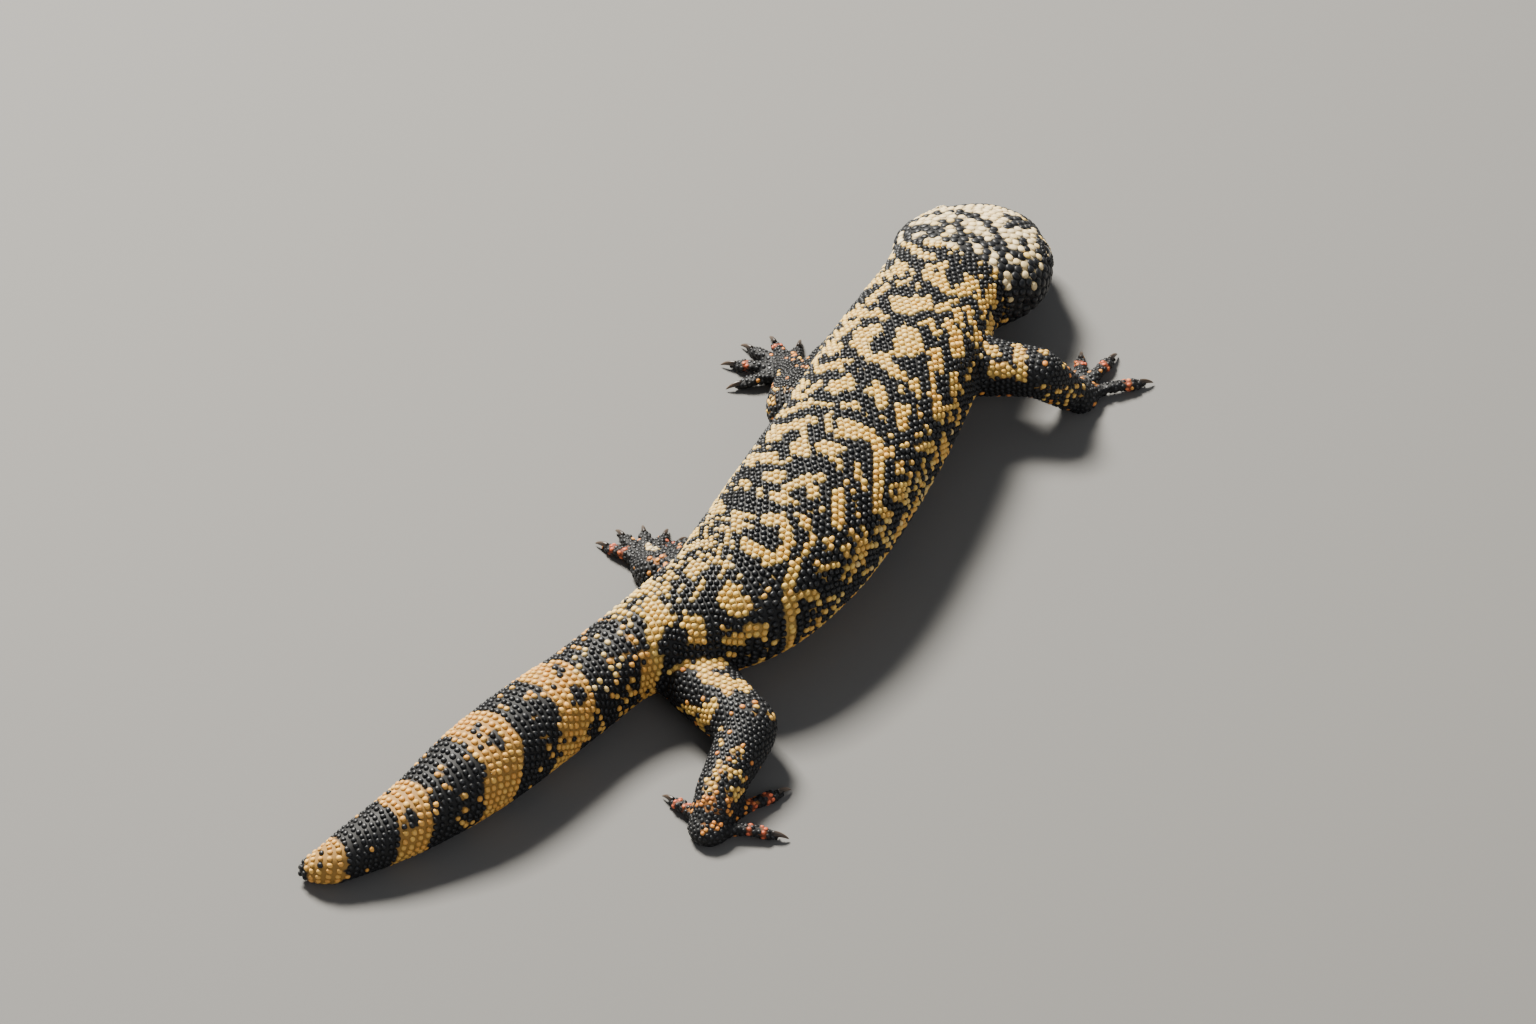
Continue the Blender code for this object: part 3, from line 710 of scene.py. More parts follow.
LEG_PALE = {
    "thigh": (
        *lines(9, ((660, 670), (672, 668), (690, 664))),
        *lines(11, ((698, 664), (722, 664))),
        *lines(13, ((703, 662), (706, 678)), ((722, 682), (746, 686))),
        *lines(13, ((713, 704), (705, 716), (700, 728))),
        *lines(10, ((714, 679), (728, 692))),
        *lines(8, ((682, 708), (698, 710))),
        *dots(6, (755, 706), (755, 713), (722, 729), (722, 743), (769, 755)),
        *lines(6, ((768, 713), (776, 718))),
    ),
    "shank": (
        *dots(6.5, (740, 749), (733, 752), (741, 757), (735, 760), (727, 759), (720, 764), (726, 766)),
        *dots(6.5, (729, 771), (723, 771), (716, 771), (735, 770), (712, 777), (718, 777), (729, 777)),
        *dots(6.5, (740, 775), (743, 781), (728, 790), (735, 790), (742, 790), (729, 797), (736, 797)),
        *dots(6.5, (714, 802), (697, 803), (729, 803), (706, 809), (713, 808), (718, 811), (692, 804)),
        *dots(6.5, (690, 810), (730, 813)),
        *dots(7, (708, 782), (714, 784), (705, 790), (710, 790), (707, 796), (703, 802), (713, 797)),
        *dots(7, (709, 803)),
    ),
    "right_arm": (
        *lines(13, ((1019, 347), (1021, 376))),
        *lines(17, ((995, 371), (1007, 370))),
        *lines(9, ((985, 346), (997, 353))),
        *lines(6, ((1041, 350), (1046, 353))),
        *dots(5, (1064, 365), (1074, 372), (1083, 378), (1096, 384)),
    ),
    "left_arm": (
        *dots(5, (787, 358), (794, 354), (800, 358), (779, 373), (786, 391), (791, 389), (784, 387)),
        *dots(5, (776, 390), (773, 397), (774, 403), (769, 403), (768, 412), (769, 419), (768, 425)),
        *dots(5, (767, 431)),
    ),
    "right_hand": (
        *dots(5, (1036, 387), (1042, 388), (1049, 388), (1058, 390), (1064, 388), (1070, 390), (1076, 385)),
        *dots(5, (1069, 394), (1075, 395), (1081, 395), (1084, 388), (1058, 400), (1066, 402), (1046, 397)),
    ),
    "right_hind_foot": (
        *dots(5, (705, 825), (712, 825), (720, 825), (704, 831), (716, 830), (750, 802), (757, 803)),
    ),
}
FOOT_CREAM = {
    "left_hind_foot": (
        *lines(6, ((646, 546), (657, 549))),
        *lines(5, ((650, 559), (659, 563))),
        *dots(6, (664, 556), (667, 565)),
    ),
}


@dataclass(frozen=True)
class Band:
    """A ring of colour round the tail, in millimetres from its tip, with how much of it is pale."""

    start: float
    end: float
    pale: float


TAIL_BANDS = (
    Band(0.0, 7.0, 0.1),
    Band(7.0, 20.5, 0.97),
    Band(20.5, 41.5, 0.03),
    Band(41.5, 55.5, 0.96),
    Band(55.5, 79.0, 0.09),
    Band(79.0, 96.5, 0.95),
    Band(96.5, 117.0, 0.09),
    Band(117.0, 135.0, 0.94),
    Band(135.0, 163.0, 0.26),
    Band(163.0, 178.0, 0.8),
)
# How far back a ring of the tail leans for each millimetre below its top.
RING_SLANT = 0.5
TAIL_DARK_SPOTS = {
    "last_band": lines(14, ((410, 815), (414, 820))),
    "third_band": lines(13, ((494, 736), (500, 743))),
    "third_band_top": dots(9, (478, 727)),
    "second_band": lines(12, ((574, 689), (580, 697))),
    "second_band_top": lines(9, ((556, 668), (560, 672))),
}
TAIL_PALE_SPOTS = {
    "before_third": dots(6, (527, 698), (535, 717), (545, 737), (549, 746), (551, 756)),
    "before_second": (
        *dots(6, (612, 660), (618, 675), (626, 655), (630, 640), (632, 680), (631, 692)),
        *dots(6, (624, 698)),
    ),
    "before_last": dots(6, (443, 768), (440, 775), (450, 788), (463, 797), (465, 810), (466, 824)),
}
CORAL_TOES = {"right_fore": (2, 3, 4), "left_fore": (1, 3), "right_hind": (0, 3, 4), "left_hind": (0, 4)}
# The shares of a toe's length between which its coral rings lie.
FORE_RINGS = ((0.66, 0.76),)
HIND_RINGS = ((0.46, 0.55), (0.72, 0.81))


@dataclass
class Colours:
    """What each scale or point of the hide is painted: how pale, how red and how bright."""

    pale: Array
    hue: Array
    tone: Array

    def store_on(self, data: bpy.types.Mesh, sources: Array) -> None:
        """Stores on each point of a mesh the colours of its source."""
        for label in ("pale", "hue", "tone"):
            store(data, label, getattr(self, label)[sources])


@dataclass
class Markings:
    """The pattern of the hide, from the picture where it shows and from like noise elsewhere."""

    blotch_length: float = 13.0
    blotch_width: float = 10.0
    fleck_length: float = 5.0
    fleck_width: float = 4.5
    fleck_share: float = 0.5
    hidden_share: float = 0.06
    body_radius: float = 27.0
    facing_least: float = 0.1
    ragged: float = 2.6
    trimmed: float = 0.45
    ring_twist: float = 0.6
    ring_ragged: float = 1.1
    ring_notches: float = 3.0
    ring_drift: float = 0.05
    leg_share: float = 0.04
    toe_radius: float = 4.0
    head_hue: float = 0.08
    trunk_hue: float = 0.3
    # How much warmer the pale marks grow towards the right flank: partly the hide's own tint, partly painted
    # shade of the side away from the key lamp.
    flank_tint_and_shade: float = 0.14
    belly_hue: float = 0.12
    tail_hue: float = 0.54
    limb_hue: float = 0.42
    leg_hue: float = 0.75
    mottle_hue: float = 0.26
    mottle_tone: float = 0.7
    hue_spread: float = 0.16

    def strokes(self, pixels: Array, *groups: dict[str, tuple[Stroke, ...]]) -> Array:
        """The deepest cover of any stroke of the groups at each pixel."""
        best = np.full(len(pixels), -np.inf)
        for marks in (marks for group in groups for marks in group.values()):
            for stroke in marks:
                best = np.maximum(best, stroke.cover(pixels))
        return best

    def mottled(self, pixels: Array, draw: Array) -> Array:
        """Whether each point falls to one of the pale scales strewn among black ones."""
        found = np.zeros(len(pixels), bool)
        for mottle in MOTTLES.values():
            found |= (mottle.stroke.cover(pixels) > 0.0) & (draw < mottle.share)
        return found

    def toe_bands(self, places: Array) -> Array:
        """Whether each point lies in a coral ring of a toe."""
        inside = np.zeros(len(places), bool)
        for name, toes in CORAL_TOES.items():
            for toe in toes:
                start, end = LEG_PLAN[name].toe_line(LEG_PLAN[name].toes[toe])
                span = end - start
                share = ((places - start) @ span) / float(span @ span)
                away = np.linalg.norm((places - start) - share[:, None] * span, axis=1)
                for low, high in FORE_RINGS if name.endswith("fore") else HIND_RINGS:
                    inside |= (share > low) & (share < high) & (away < self.toe_radius * MM)
        return inside

    def hidden(self, from_tip: Array, over: Array) -> Array:
        """Whether points that the picture doesn't show are pale, in blotches like the drawn ones."""
        girth = over * self.body_radius
        blotches = np.stack([from_tip / self.blotch_length, girth / self.blotch_width], 1)
        flecks = np.stack([from_tip / self.fleck_length, girth / self.fleck_width], 1)
        height = lattice_noise(blotches, BLOTCH_SEED) + self.fleck_share * lattice_noise(flecks, FLECK_SEED)
        return height > self.hidden_share

    def tail(self, ring_top: Array, over: Array, pixels: Array, draw: Array) -> Array:
        """Whether the tail is pale: from the tops of the rings in millimetres, then the drawn spots."""
        notches = np.stack([over * self.ring_notches, ring_top * self.ring_drift], 1)
        ragged = self.ring_ragged * lattice_noise(notches, RING_SEED)
        slanted = ring_top + self.ring_twist * np.sin(over * 2.0) + ragged
        pale = np.zeros(len(draw), bool)
        for band in TAIL_BANDS:
            pale = np.where((slanted >= band.start) & (slanted < band.end), draw < band.pale, pale)
        pale &= self.strokes(pixels, TAIL_DARK_SPOTS) <= 0.0
        return pale | (self.strokes(pixels, TAIL_PALE_SPOTS) > 0.0)

    def paint(self, places: Array, normals: Array, zones: Array, draws: Array) -> Colours:
        """Paints points of the hide.

        Args:
            places: One point a row, in metres.
            normals: The way out of the hide at each.
            zones: The index of each point's zone.
            draws: Four random numbers from 0 to 1 a row.

        Returns:
            The colours of the points.
        """
        along, aside, rise = BACK.measure(places)
        from_tip, over = along / MM, np.arctan2(aside, rise)
        ring_top = from_tip + RING_SLANT * (np.hypot(aside, rise) - rise) / MM
        in_tail, in_head = is_in(zones, *TAIL), is_in(zones, Zone.HEAD)
        in_leg, in_foot = is_in(zones, Zone.LEG), is_in(zones, Zone.FOOT)

        pixels = VIEW.pixels(places)
        seen = VIEW.facing(places, normals) > self.facing_least
        edge = self.ragged * (draws[:, 3] - 0.5) + self.trimmed
        drawn = self.strokes(pixels, HEAD_PALE, NECK_PALE, FORE_PALE, MID_PALE, REAR_PALE) > edge
        strewn = self.mottled(pixels, draws[:, 0])
        trunk = (drawn | strewn) & (self.strokes(pixels, BODY_DARK) <= 0.0)
        limbs = (self.strokes(pixels, LEG_PALE) > edge) & seen
        cream = (self.strokes(pixels, FOOT_CREAM) > edge) & seen
        coral = self.toe_bands(places) & in_foot

        tail = self.tail(ring_top, over, pixels, draws[:, 0])
        tail = np.where(seen & (from_tip > TAIL_BANDS[-1].start), trunk, tail)
        pale = np.where(in_tail, tail, np.where(seen, trunk, self.hidden(from_tip, over)))
        snout = smooth_step(from_tip, spine_at("brows") / MM, spine_at("bridge") / MM) > 0.5
        pale &= ~(in_head & snout) | (seen & trunk)
        pale = np.where(in_leg | in_foot, limbs | cream | (draws[:, 0] < self.leg_share), pale) | coral

        # Pale marks grow warmer and darker towards the right flank: partly the hide's own tint, partly
        # painted shade.
        hue = self.trunk_hue + self.flank_tint_and_shade * smooth_step(aside / MM, -5.0, 28.0)
        for chosen, given in (
            (in_tail, self.tail_hue),
            (in_head, self.head_hue),
            (strewn & ~drawn, self.mottle_hue),
            (in_leg | in_foot, self.leg_hue),
            (limbs & in_leg, self.limb_hue),
            (cream & in_foot, self.head_hue),
            (coral, 1.0),
        ):
            hue = np.where(chosen, given, hue)
        belly = smooth_step(-np.cos(over), -0.2, 0.6) * is_in(zones, *TRUNK)
        hue = np.clip(hue + self.hue_spread * (draws[:, 1] - 0.5) + self.belly_hue * belly, 0.0, 1.0)
        tone = np.where(strewn & ~drawn, self.mottle_tone * draws[:, 2], draws[:, 2])
        return Colours(pale.astype(float), hue, tone)


class Shade:
    """A value in a material's tree that takes part in sums through Math nodes."""

    def __init__(self, shader: "Shader", socket: bpy.types.NodeSocket) -> None:
        """Keeps the socket and the tree it belongs to."""
        self.shader = shader
        self.socket = socket

    def math(self, operation: str, *others: "Shade | float", reverse: bool = False) -> "Shade":
        """The result of a Math node on this value and others."""
        terms = (*others, self) if reverse else (self, *others)
        return self.shader.value("ShaderNodeMath", {"operation": operation}, dict(enumerate(terms)))

    def __add__(self, other: "Shade | float") -> "Shade":
        """This value and another together."""
        return self.math("ADD", other)

    def __sub__(self, other: "Shade | float") -> "Shade":
        """This value less another."""
        return self.math("SUBTRACT", other)

    def __rsub__(self, other: float) -> "Shade":
        """A number less this value."""
        return self.math("SUBTRACT", other, reverse=True)

    def __mul__(self, other: "Shade | float") -> "Shade":
        """This value times another."""
        return self.math("MULTIPLY", other)

    __radd__ = __add__
    __rmul__ = __mul__


class Shader:
    """A material and its tree of nodes."""

    def __init__(self, name: str) -> None:
        """Makes the material with an empty tree."""
        self.material = bpy.data.materials.new(name)
        self.material.use_nodes = True
        self.tree = self.material.node_tree
        self.tree.nodes.clear()

    def node(self, kind: str, settings: dict, sockets: dict) -> bpy.types.Node:
        """Adds a node.

        Args:
            kind: The node's type.
            settings: Its own settings, with a ramp's stops under "stops".
            sockets: A number, a colour or a value for each socket, by name or place.

        Returns:
            The node.
        """
        made = self.tree.nodes.new(kind)
        for name, setting in settings.items():
            if name == "stops":
                self.stops(made.color_ramp, setting)
            else:
                setattr(made, name, setting)
        for key, given in sockets.items():
            if isinstance(given, Shade):
                self.tree.links.new(given.socket, made.inputs[key])
            else:
                made.inputs[key].default_value = given
        return made

    def stops(self, ramp: bpy.types.ColorRamp, stops: Sequence[tuple[float, Point]]) -> None:
        """Sets the places and colours of a ramp."""
        while len(ramp.elements) < len(stops):
            ramp.elements.new(0.5)
        for element, (place, colour) in zip(ramp.elements, stops):
            element.position = place
            element.color = (*colour, 1.0)

    def value(self, kind: str, settings: dict, sockets: dict, output: int | str = 0) -> Shade:
        """Adds a node and gives one of its outputs."""
        return Shade(self, self.node(kind, settings, sockets).outputs[output])

    def attribute(self, name: str) -> Shade:
        """A value stored on the mesh."""
        settings = {"attribute_type": "GEOMETRY", "attribute_name": name}
        return self.value("ShaderNodeAttribute", settings, {}, "Fac")

    def mix(self, share: "Shade | float", first: "Shade | Point", second: "Shade | Point") -> Shade:
        """A colour part way from the first to the second."""
        pair = [(*given, 1.0) if isinstance(given, tuple) else given for given in (first, second)]
        settings = {"data_type": "RGBA", "blend_type": "MIX", "clamp_factor": True}
        return self.value("ShaderNodeMix", settings, {0: share, 6: pair[0], 7: pair[1]}, 2)

    def ramp(self, share: Shade, stops: Sequence[tuple[float, Point]]) -> Shade:
        """A colour from a ramp."""
        return self.value("ShaderNodeValToRGB", {"stops": stops}, {"Fac": share})

    def scaled(self, colour: Shade, share: Shade) -> Shade:
        """A colour made darker or brighter."""
        return self.value("ShaderNodeVectorMath", {"operation": "SCALE"}, {0: colour, "Scale": share})

    def noise(self, scale: float, detail: float = 2.0) -> Shade:
        """Noise in the object's own space, with a scale in features a metre."""
        place = self.value("ShaderNodeTexCoord", {}, {}, "Object")
        sockets = {"Vector": place, "Scale": scale, "Detail": detail}
        return self.value("ShaderNodeTexNoise", {}, sockets, "Fac")

    def bump(self, height: Shade, strength: float, distance: float) -> Shade:
        """Normals that follow a height."""
        sockets = {"Strength": strength, "Distance": distance, "Height": height}
        return self.value("ShaderNodeBump", {}, sockets)

    def surface(self, sockets: dict) -> bpy.types.Material:
        """Ends the tree in a Principled surface and gives the material."""
        principled = self.node("ShaderNodeBsdfPrincipled", {}, sockets)
        self.node("ShaderNodeOutputMaterial", {}, {"Surface": Shade(self, principled.outputs[0])})
        return self.material


@dataclass(frozen=True)
class HideFinish:
    """Black and apricot scales with a satin gloss; painted shade darkens the grooves, where the hide's own
    skin is darker too, and a painted bluish highlight lies on the black scales' tops.
    """

    name: str = "beaded_hide"
    black: Point = (0.0035, 0.0036, 0.004)
    # The colour of the black scales' tops: a painted bluish highlight.
    black_painted_highlight: Point = (0.0085, 0.0095, 0.012)
    pales: tuple[tuple[float, Point], ...] = (
        (0.0, (0.95, 0.77, 0.46)),
        (0.35, (0.95, 0.63, 0.15)),
        (0.7, (0.88, 0.36, 0.06)),
        (1.0, (0.74, 0.15, 0.06)),
    )
    mottle_scale: float = 900.0
    grain_scale: float = 2600.0
    grain_detail: float = 3.0
    grain_strength: float = 0.25
    grain_height: float = 0.2 * MM
    specular: float = 0.4
    gloss_roughness: float = 0.22

    def material(self) -> bpy.types.Material:
        """Makes the finish."""
        shader = Shader(self.name)
        pale, hue = shader.attribute("pale"), shader.attribute("hue")
        tone, lift = shader.attribute("tone"), shader.attribute("lift")
        mottle = shader.noise(self.mottle_scale)
        bright = 0.72 + tone * 0.24 + mottle * 0.12
        # The pale colour darkens towards each scale's foot and in the hide between: partly the hide's own
        # dark skin, partly painted shade in the grooves.
        furrow_shade = 0.56 - hue * 0.36
        depth = furrow_shade + lift.math("SMOOTH_MIN", 0.7, 0.3) * (1.0 - furrow_shade) * 1.45
        pale_colour = shader.scaled(shader.ramp(hue, self.pales), bright * depth)
        # The black scales lighten towards their tops: a painted bluish highlight.
        black = shader.mix(lift * (0.4 + tone), self.black, self.black_painted_highlight)
        grain = shader.noise(self.grain_scale, self.grain_detail)
        return shader.surface(
            {
                "Base Color": shader.mix(pale, black, pale_colour),
                "Roughness": 0.6 + pale * 0.06 + mottle * 0.14 - lift * 0.22,
                "Normal": shader.bump(grain, self.grain_strength, self.grain_height),
                "Specular IOR Level": self.specular,
                "Coat Weight": lift * (0.12 - pale * 0.06),
                "Coat Roughness": self.gloss_roughness,
            }
        )


@dataclass(frozen=True)
class EyeFinish:
    """A dark wet eye with a round pupil in a brown iris."""

    name: str = "eye"
    stops: tuple[tuple[float, Point], ...] = (
        (0.0, (0.002, 0.002, 0.002)),
        (0.2, (0.003, 0.002, 0.002)),
        (0.23, (0.03, 0.016, 0.008)),
        (0.34, (0.05, 0.026, 0.012)),
        (0.4, (0.008, 0.006, 0.005)),
        (1.0, (0.02, 0.014, 0.012)),
    )
    fleck_scale: float = 1800.0
    roughness: float = 0.06
    wet_roughness: float = 0.02

    def material(self) -> bpy.types.Material:
        """Makes the finish."""
        shader = Shader(self.name)
        iris = shader.ramp(shader.attribute("from_pupil"), self.stops)
        flecks = shader.noise(self.fleck_scale)
        return shader.surface(
            {
                "Base Color": shader.scaled(iris, 0.7 + flecks * 0.6),
                "Roughness": self.roughness,
                "Coat Weight": 1.0,
                "Coat Roughness": self.wet_roughness,
            }
        )


@dataclass(frozen=True)
class ClawFinish:
    """Dark horn that pales towards its tip."""

    name: str = "claw_horn"
    root: Point = (0.02, 0.016, 0.014)
    tip: Point = (0.16, 0.11, 0.075)
    streak_scale: float = 1500.0
    grain_scale: float = 4000.0
    grain_strength: float = 0.15
    grain_height: float = 0.1 * MM

    def material(self) -> bpy.types.Material:
        """Makes the finish."""
        shader = Shader(self.name)
        streaks = shader.noise(self.streak_scale)
        paler = shader.attribute("along") * 0.8 + streaks * 0.3 - 0.15
        grain = shader.noise(self.grain_scale)
        return shader.surface(
            {
                "Base Color": shader.mix(paler, self.root, self.tip),
                "Roughness": 0.3 + streaks * 0.15,
                "Normal": shader.bump(grain, self.grain_strength, self.grain_height),
            }
        )


@dataclass(frozen=True)
class FloorFinish:
    """A plain pale floor, faintly uneven."""

    name: str = "studio_floor"
    colour: Point = (0.17, 0.167, 0.16)
    darker: Point = (0.15, 0.147, 0.14)
    drift_scale: float = 3.0
    roughness: float = 0.85

    def material(self) -> bpy.types.Material:
        """Makes the finish."""
        shader = Shader(self.name)
        colour = shader.mix(shader.noise(self.drift_scale) * 0.25, self.colour, self.darker)
        return shader.surface({"Base Color": colour, "Roughness": self.roughness})


def link(name: str, data: bpy.types.Mesh, finish: bpy.types.Material | None) -> bpy.types.Object:
    """An object of the scene with a mesh and a finish."""
    made = bpy.data.objects.new(name, data)
    if finish is not None:
        data.materials.append(finish)
    bpy.context.scene.collection.objects.link(made)
    return made


def mesh_from(name: str, places: Array, faces: Array) -> bpy.types.Mesh:
    """A mesh from points and faces of one number of corners, shaded smooth.

    Args:
        name: The mesh's name.
        places: One point a row.
        faces: One face a row, as the places of its corners.

    Returns:
        The mesh.
    """
    data = bpy.data.meshes.new(name)
    data.vertices.add(len(places))
    data.vertices.foreach_set("co", places.astype(np.float32).ravel())
    data.loops.add(faces.size)
    data.loops.foreach_set("vertex_index", faces.astype(np.int32).ravel())
    data.polygons.add(len(faces))
    data.polygons.foreach_set("loop_start", np.arange(0, faces.size, faces.shape[1], dtype=np.int32))
    shade_smooth(data)
    data.update(calc_edges=True)
    return data


def small_mesh(name: str, places: Array, faces: Sequence[Sequence[int]]) -> bpy.types.Mesh:
    """A mesh from points and faces of any number of corners, shaded smooth."""
    data = bpy.data.meshes.new(name)
    data.from_pydata(places.tolist(), [], faces)
    shade_smooth(data)
    return data


def ring_faces(base: int, steps: int, sides: int) -> list[tuple[int, ...]]:
    """The faces that join each ring of points to the next, for rings that follow one another from a base."""
    found = []
    for low in range(base, base + steps * sides, sides):
        for corner in range(sides):
            after = (corner + 1) % sides
            found.append((low + corner, low + sides + corner, low + sides + after, low + after))
    return found


def shade_smooth(data: bpy.types.Mesh) -> None:
    """Shades every face of a mesh smooth."""
    data.polygons.foreach_set("use_smooth", np.ones(len(data.polygons), bool))


def move(data: bpy.types.Mesh, places: Array) -> None:
    """Moves the points of a mesh."""
    data.vertices.foreach_set("co", places.astype(np.float32).ravel())
    data.update()


def store(data: bpy.types.Mesh, name: str, values: Array) -> None:
    """Stores a value on each point of a mesh."""
    attribute = data.attributes.new(name, "FLOAT", "POINT")
    attribute.data.foreach_set("value", values.astype(np.float32).ravel())


def rows_of(items: Sequence, name: str, width: int, kind: type) -> Array:
    """The numbers that a mesh keeps under one name, one row for each of its items."""
    flat = np.empty(len(items) * width, kind)
    items.foreach_get(name, flat)
    return flat.reshape(-1, width)


def points_of(data: bpy.types.Mesh) -> Array:
    """The points of a mesh, one a row."""
    return rows_of(data.vertices, "co", 3, np.float32).astype(float)


def normals_of(data: bpy.types.Mesh) -> Array:
    """The smooth normals of a mesh's points, one a row."""
    return rows_of(data.vertex_normals, "vector", 3, np.float32).astype(float)


def neighbour_sums(values: Array, edges: Array) -> Array:
    """The sum of each point's neighbours' values."""
    first, second = edges.T
    count = len(values)
    return np.bincount(first, values[second], count) + np.bincount(second, values[first], count)


def search_tree(places: Array) -> KDTree:
    """A search tree of points."""
    tree = KDTree(len(places))
    for index, place in enumerate(places.tolist()):
        tree.insert(place, index)
    tree.balance()
    return tree


def nearest_in(tree: KDTree, places: Array) -> tuple[Array, Array]:
    """Which of a tree's points is nearest to each place, and how far away it is."""
    hits = [tree.find(place) for place in places.tolist()]
    return np.array([hit[1] for hit in hits]), np.array([hit[2] for hit in hits])


def walked(line: Array) -> Array:
    """The distance from the first point of a broken line to each of its points."""
    return np.concatenate([[0.0], np.cumsum(np.linalg.norm(np.diff(line, axis=0), axis=1))])


# How much the solids are swelled so that neighbours join, and the side of the squares that fuse them.
JOIN_SWELL = 0.3 * MM
VOXEL = 1.15 * MM
WELD = 0.01 * MM


@dataclass
class Flesh:
    """The solids of the frame that the hide covers, kept to tell which zone a point is in."""

    nodes: tuple[str, ...] = field(init=False)
    zones: Array = field(init=False)
    tree: BVHTree = field(init=False)
    owner: Array = field(init=False)
    places: Array = field(init=False)
    faces: Array = field(init=False)

    def __post_init__(self) -> None:
        """Gathers the triangles of every node but the eyes."""
        self.nodes = tuple(sorted(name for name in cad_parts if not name.startswith("eye")))
        self.zones = np.array([ZONES.index(zone_of(name)) for name in self.nodes])
        places, faces, owner = [], [], []
        count = 0
        for index, name in enumerate(self.nodes):
            loose = bmesh.new()
            loose.from_mesh(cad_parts[name].data)
            bmesh.ops.remove_doubles(loose, verts=loose.verts, dist=WELD)
            bmesh.ops.triangulate(loose, faces=loose.faces)
            loose.normal_update()
            loose.verts.index_update()
            places.append(np.array([vert.co + vert.normal * JOIN_SWELL for vert in loose.verts]))
            faces.append(np.array([[vert.index for vert in face.verts] for face in loose.faces]) + count)
            owner.append(np.full(len(loose.faces), index))
            count += len(loose.verts)
            loose.free()
        self.places, self.faces, self.owner = (np.concatenate(rows) for rows in (places, faces, owner))
        self.tree = BVHTree.FromPolygons(self.places.tolist(), self.faces.tolist())

    def owners(self, places: Array) -> Array:
        """The index of the node nearest to each point."""
        hits = [self.tree.find_nearest(place)[2] for place in places.tolist()]
        return self.owner[np.array(hits)]


# How soft the smoothing is and how deep the hide lies under the solids, in millimetres.
SKIN_BY_ZONE = {
    Zone.TAIL_TIP: (0.4, 0.5),
    Zone.TAIL_MIDDLE: (0.5, 0.6),
    Zone.TAIL_BASE: (0.5, 0.6),
    Zone.TORSO_REAR: (0.5, 0.7),
    Zone.TORSO_MID: (0.5, 0.75),
    Zone.TORSO_FORE: (0.5, 0.75),
    Zone.NECK: (0.5, 0.7),
    Zone.HEAD: (0.22, 0.55),
    Zone.LEG: (0.28, 0.4),
    Zone.FOOT: (0.02, 0.2),
}
# The neck's folds: the station behind each, how far from it in millimetres, and how deep.
NECK_FOLDS = (("nape", -3.0, 1.3), ("neck_2", -4.0, 0.9), ("neck_1", -2.0, 0.7))
# The least height of the hide and of a scale above the floor.
FLOOR_CLEAR = 0.15 * MM
SCALE_CLEAR = 0.02 * MM


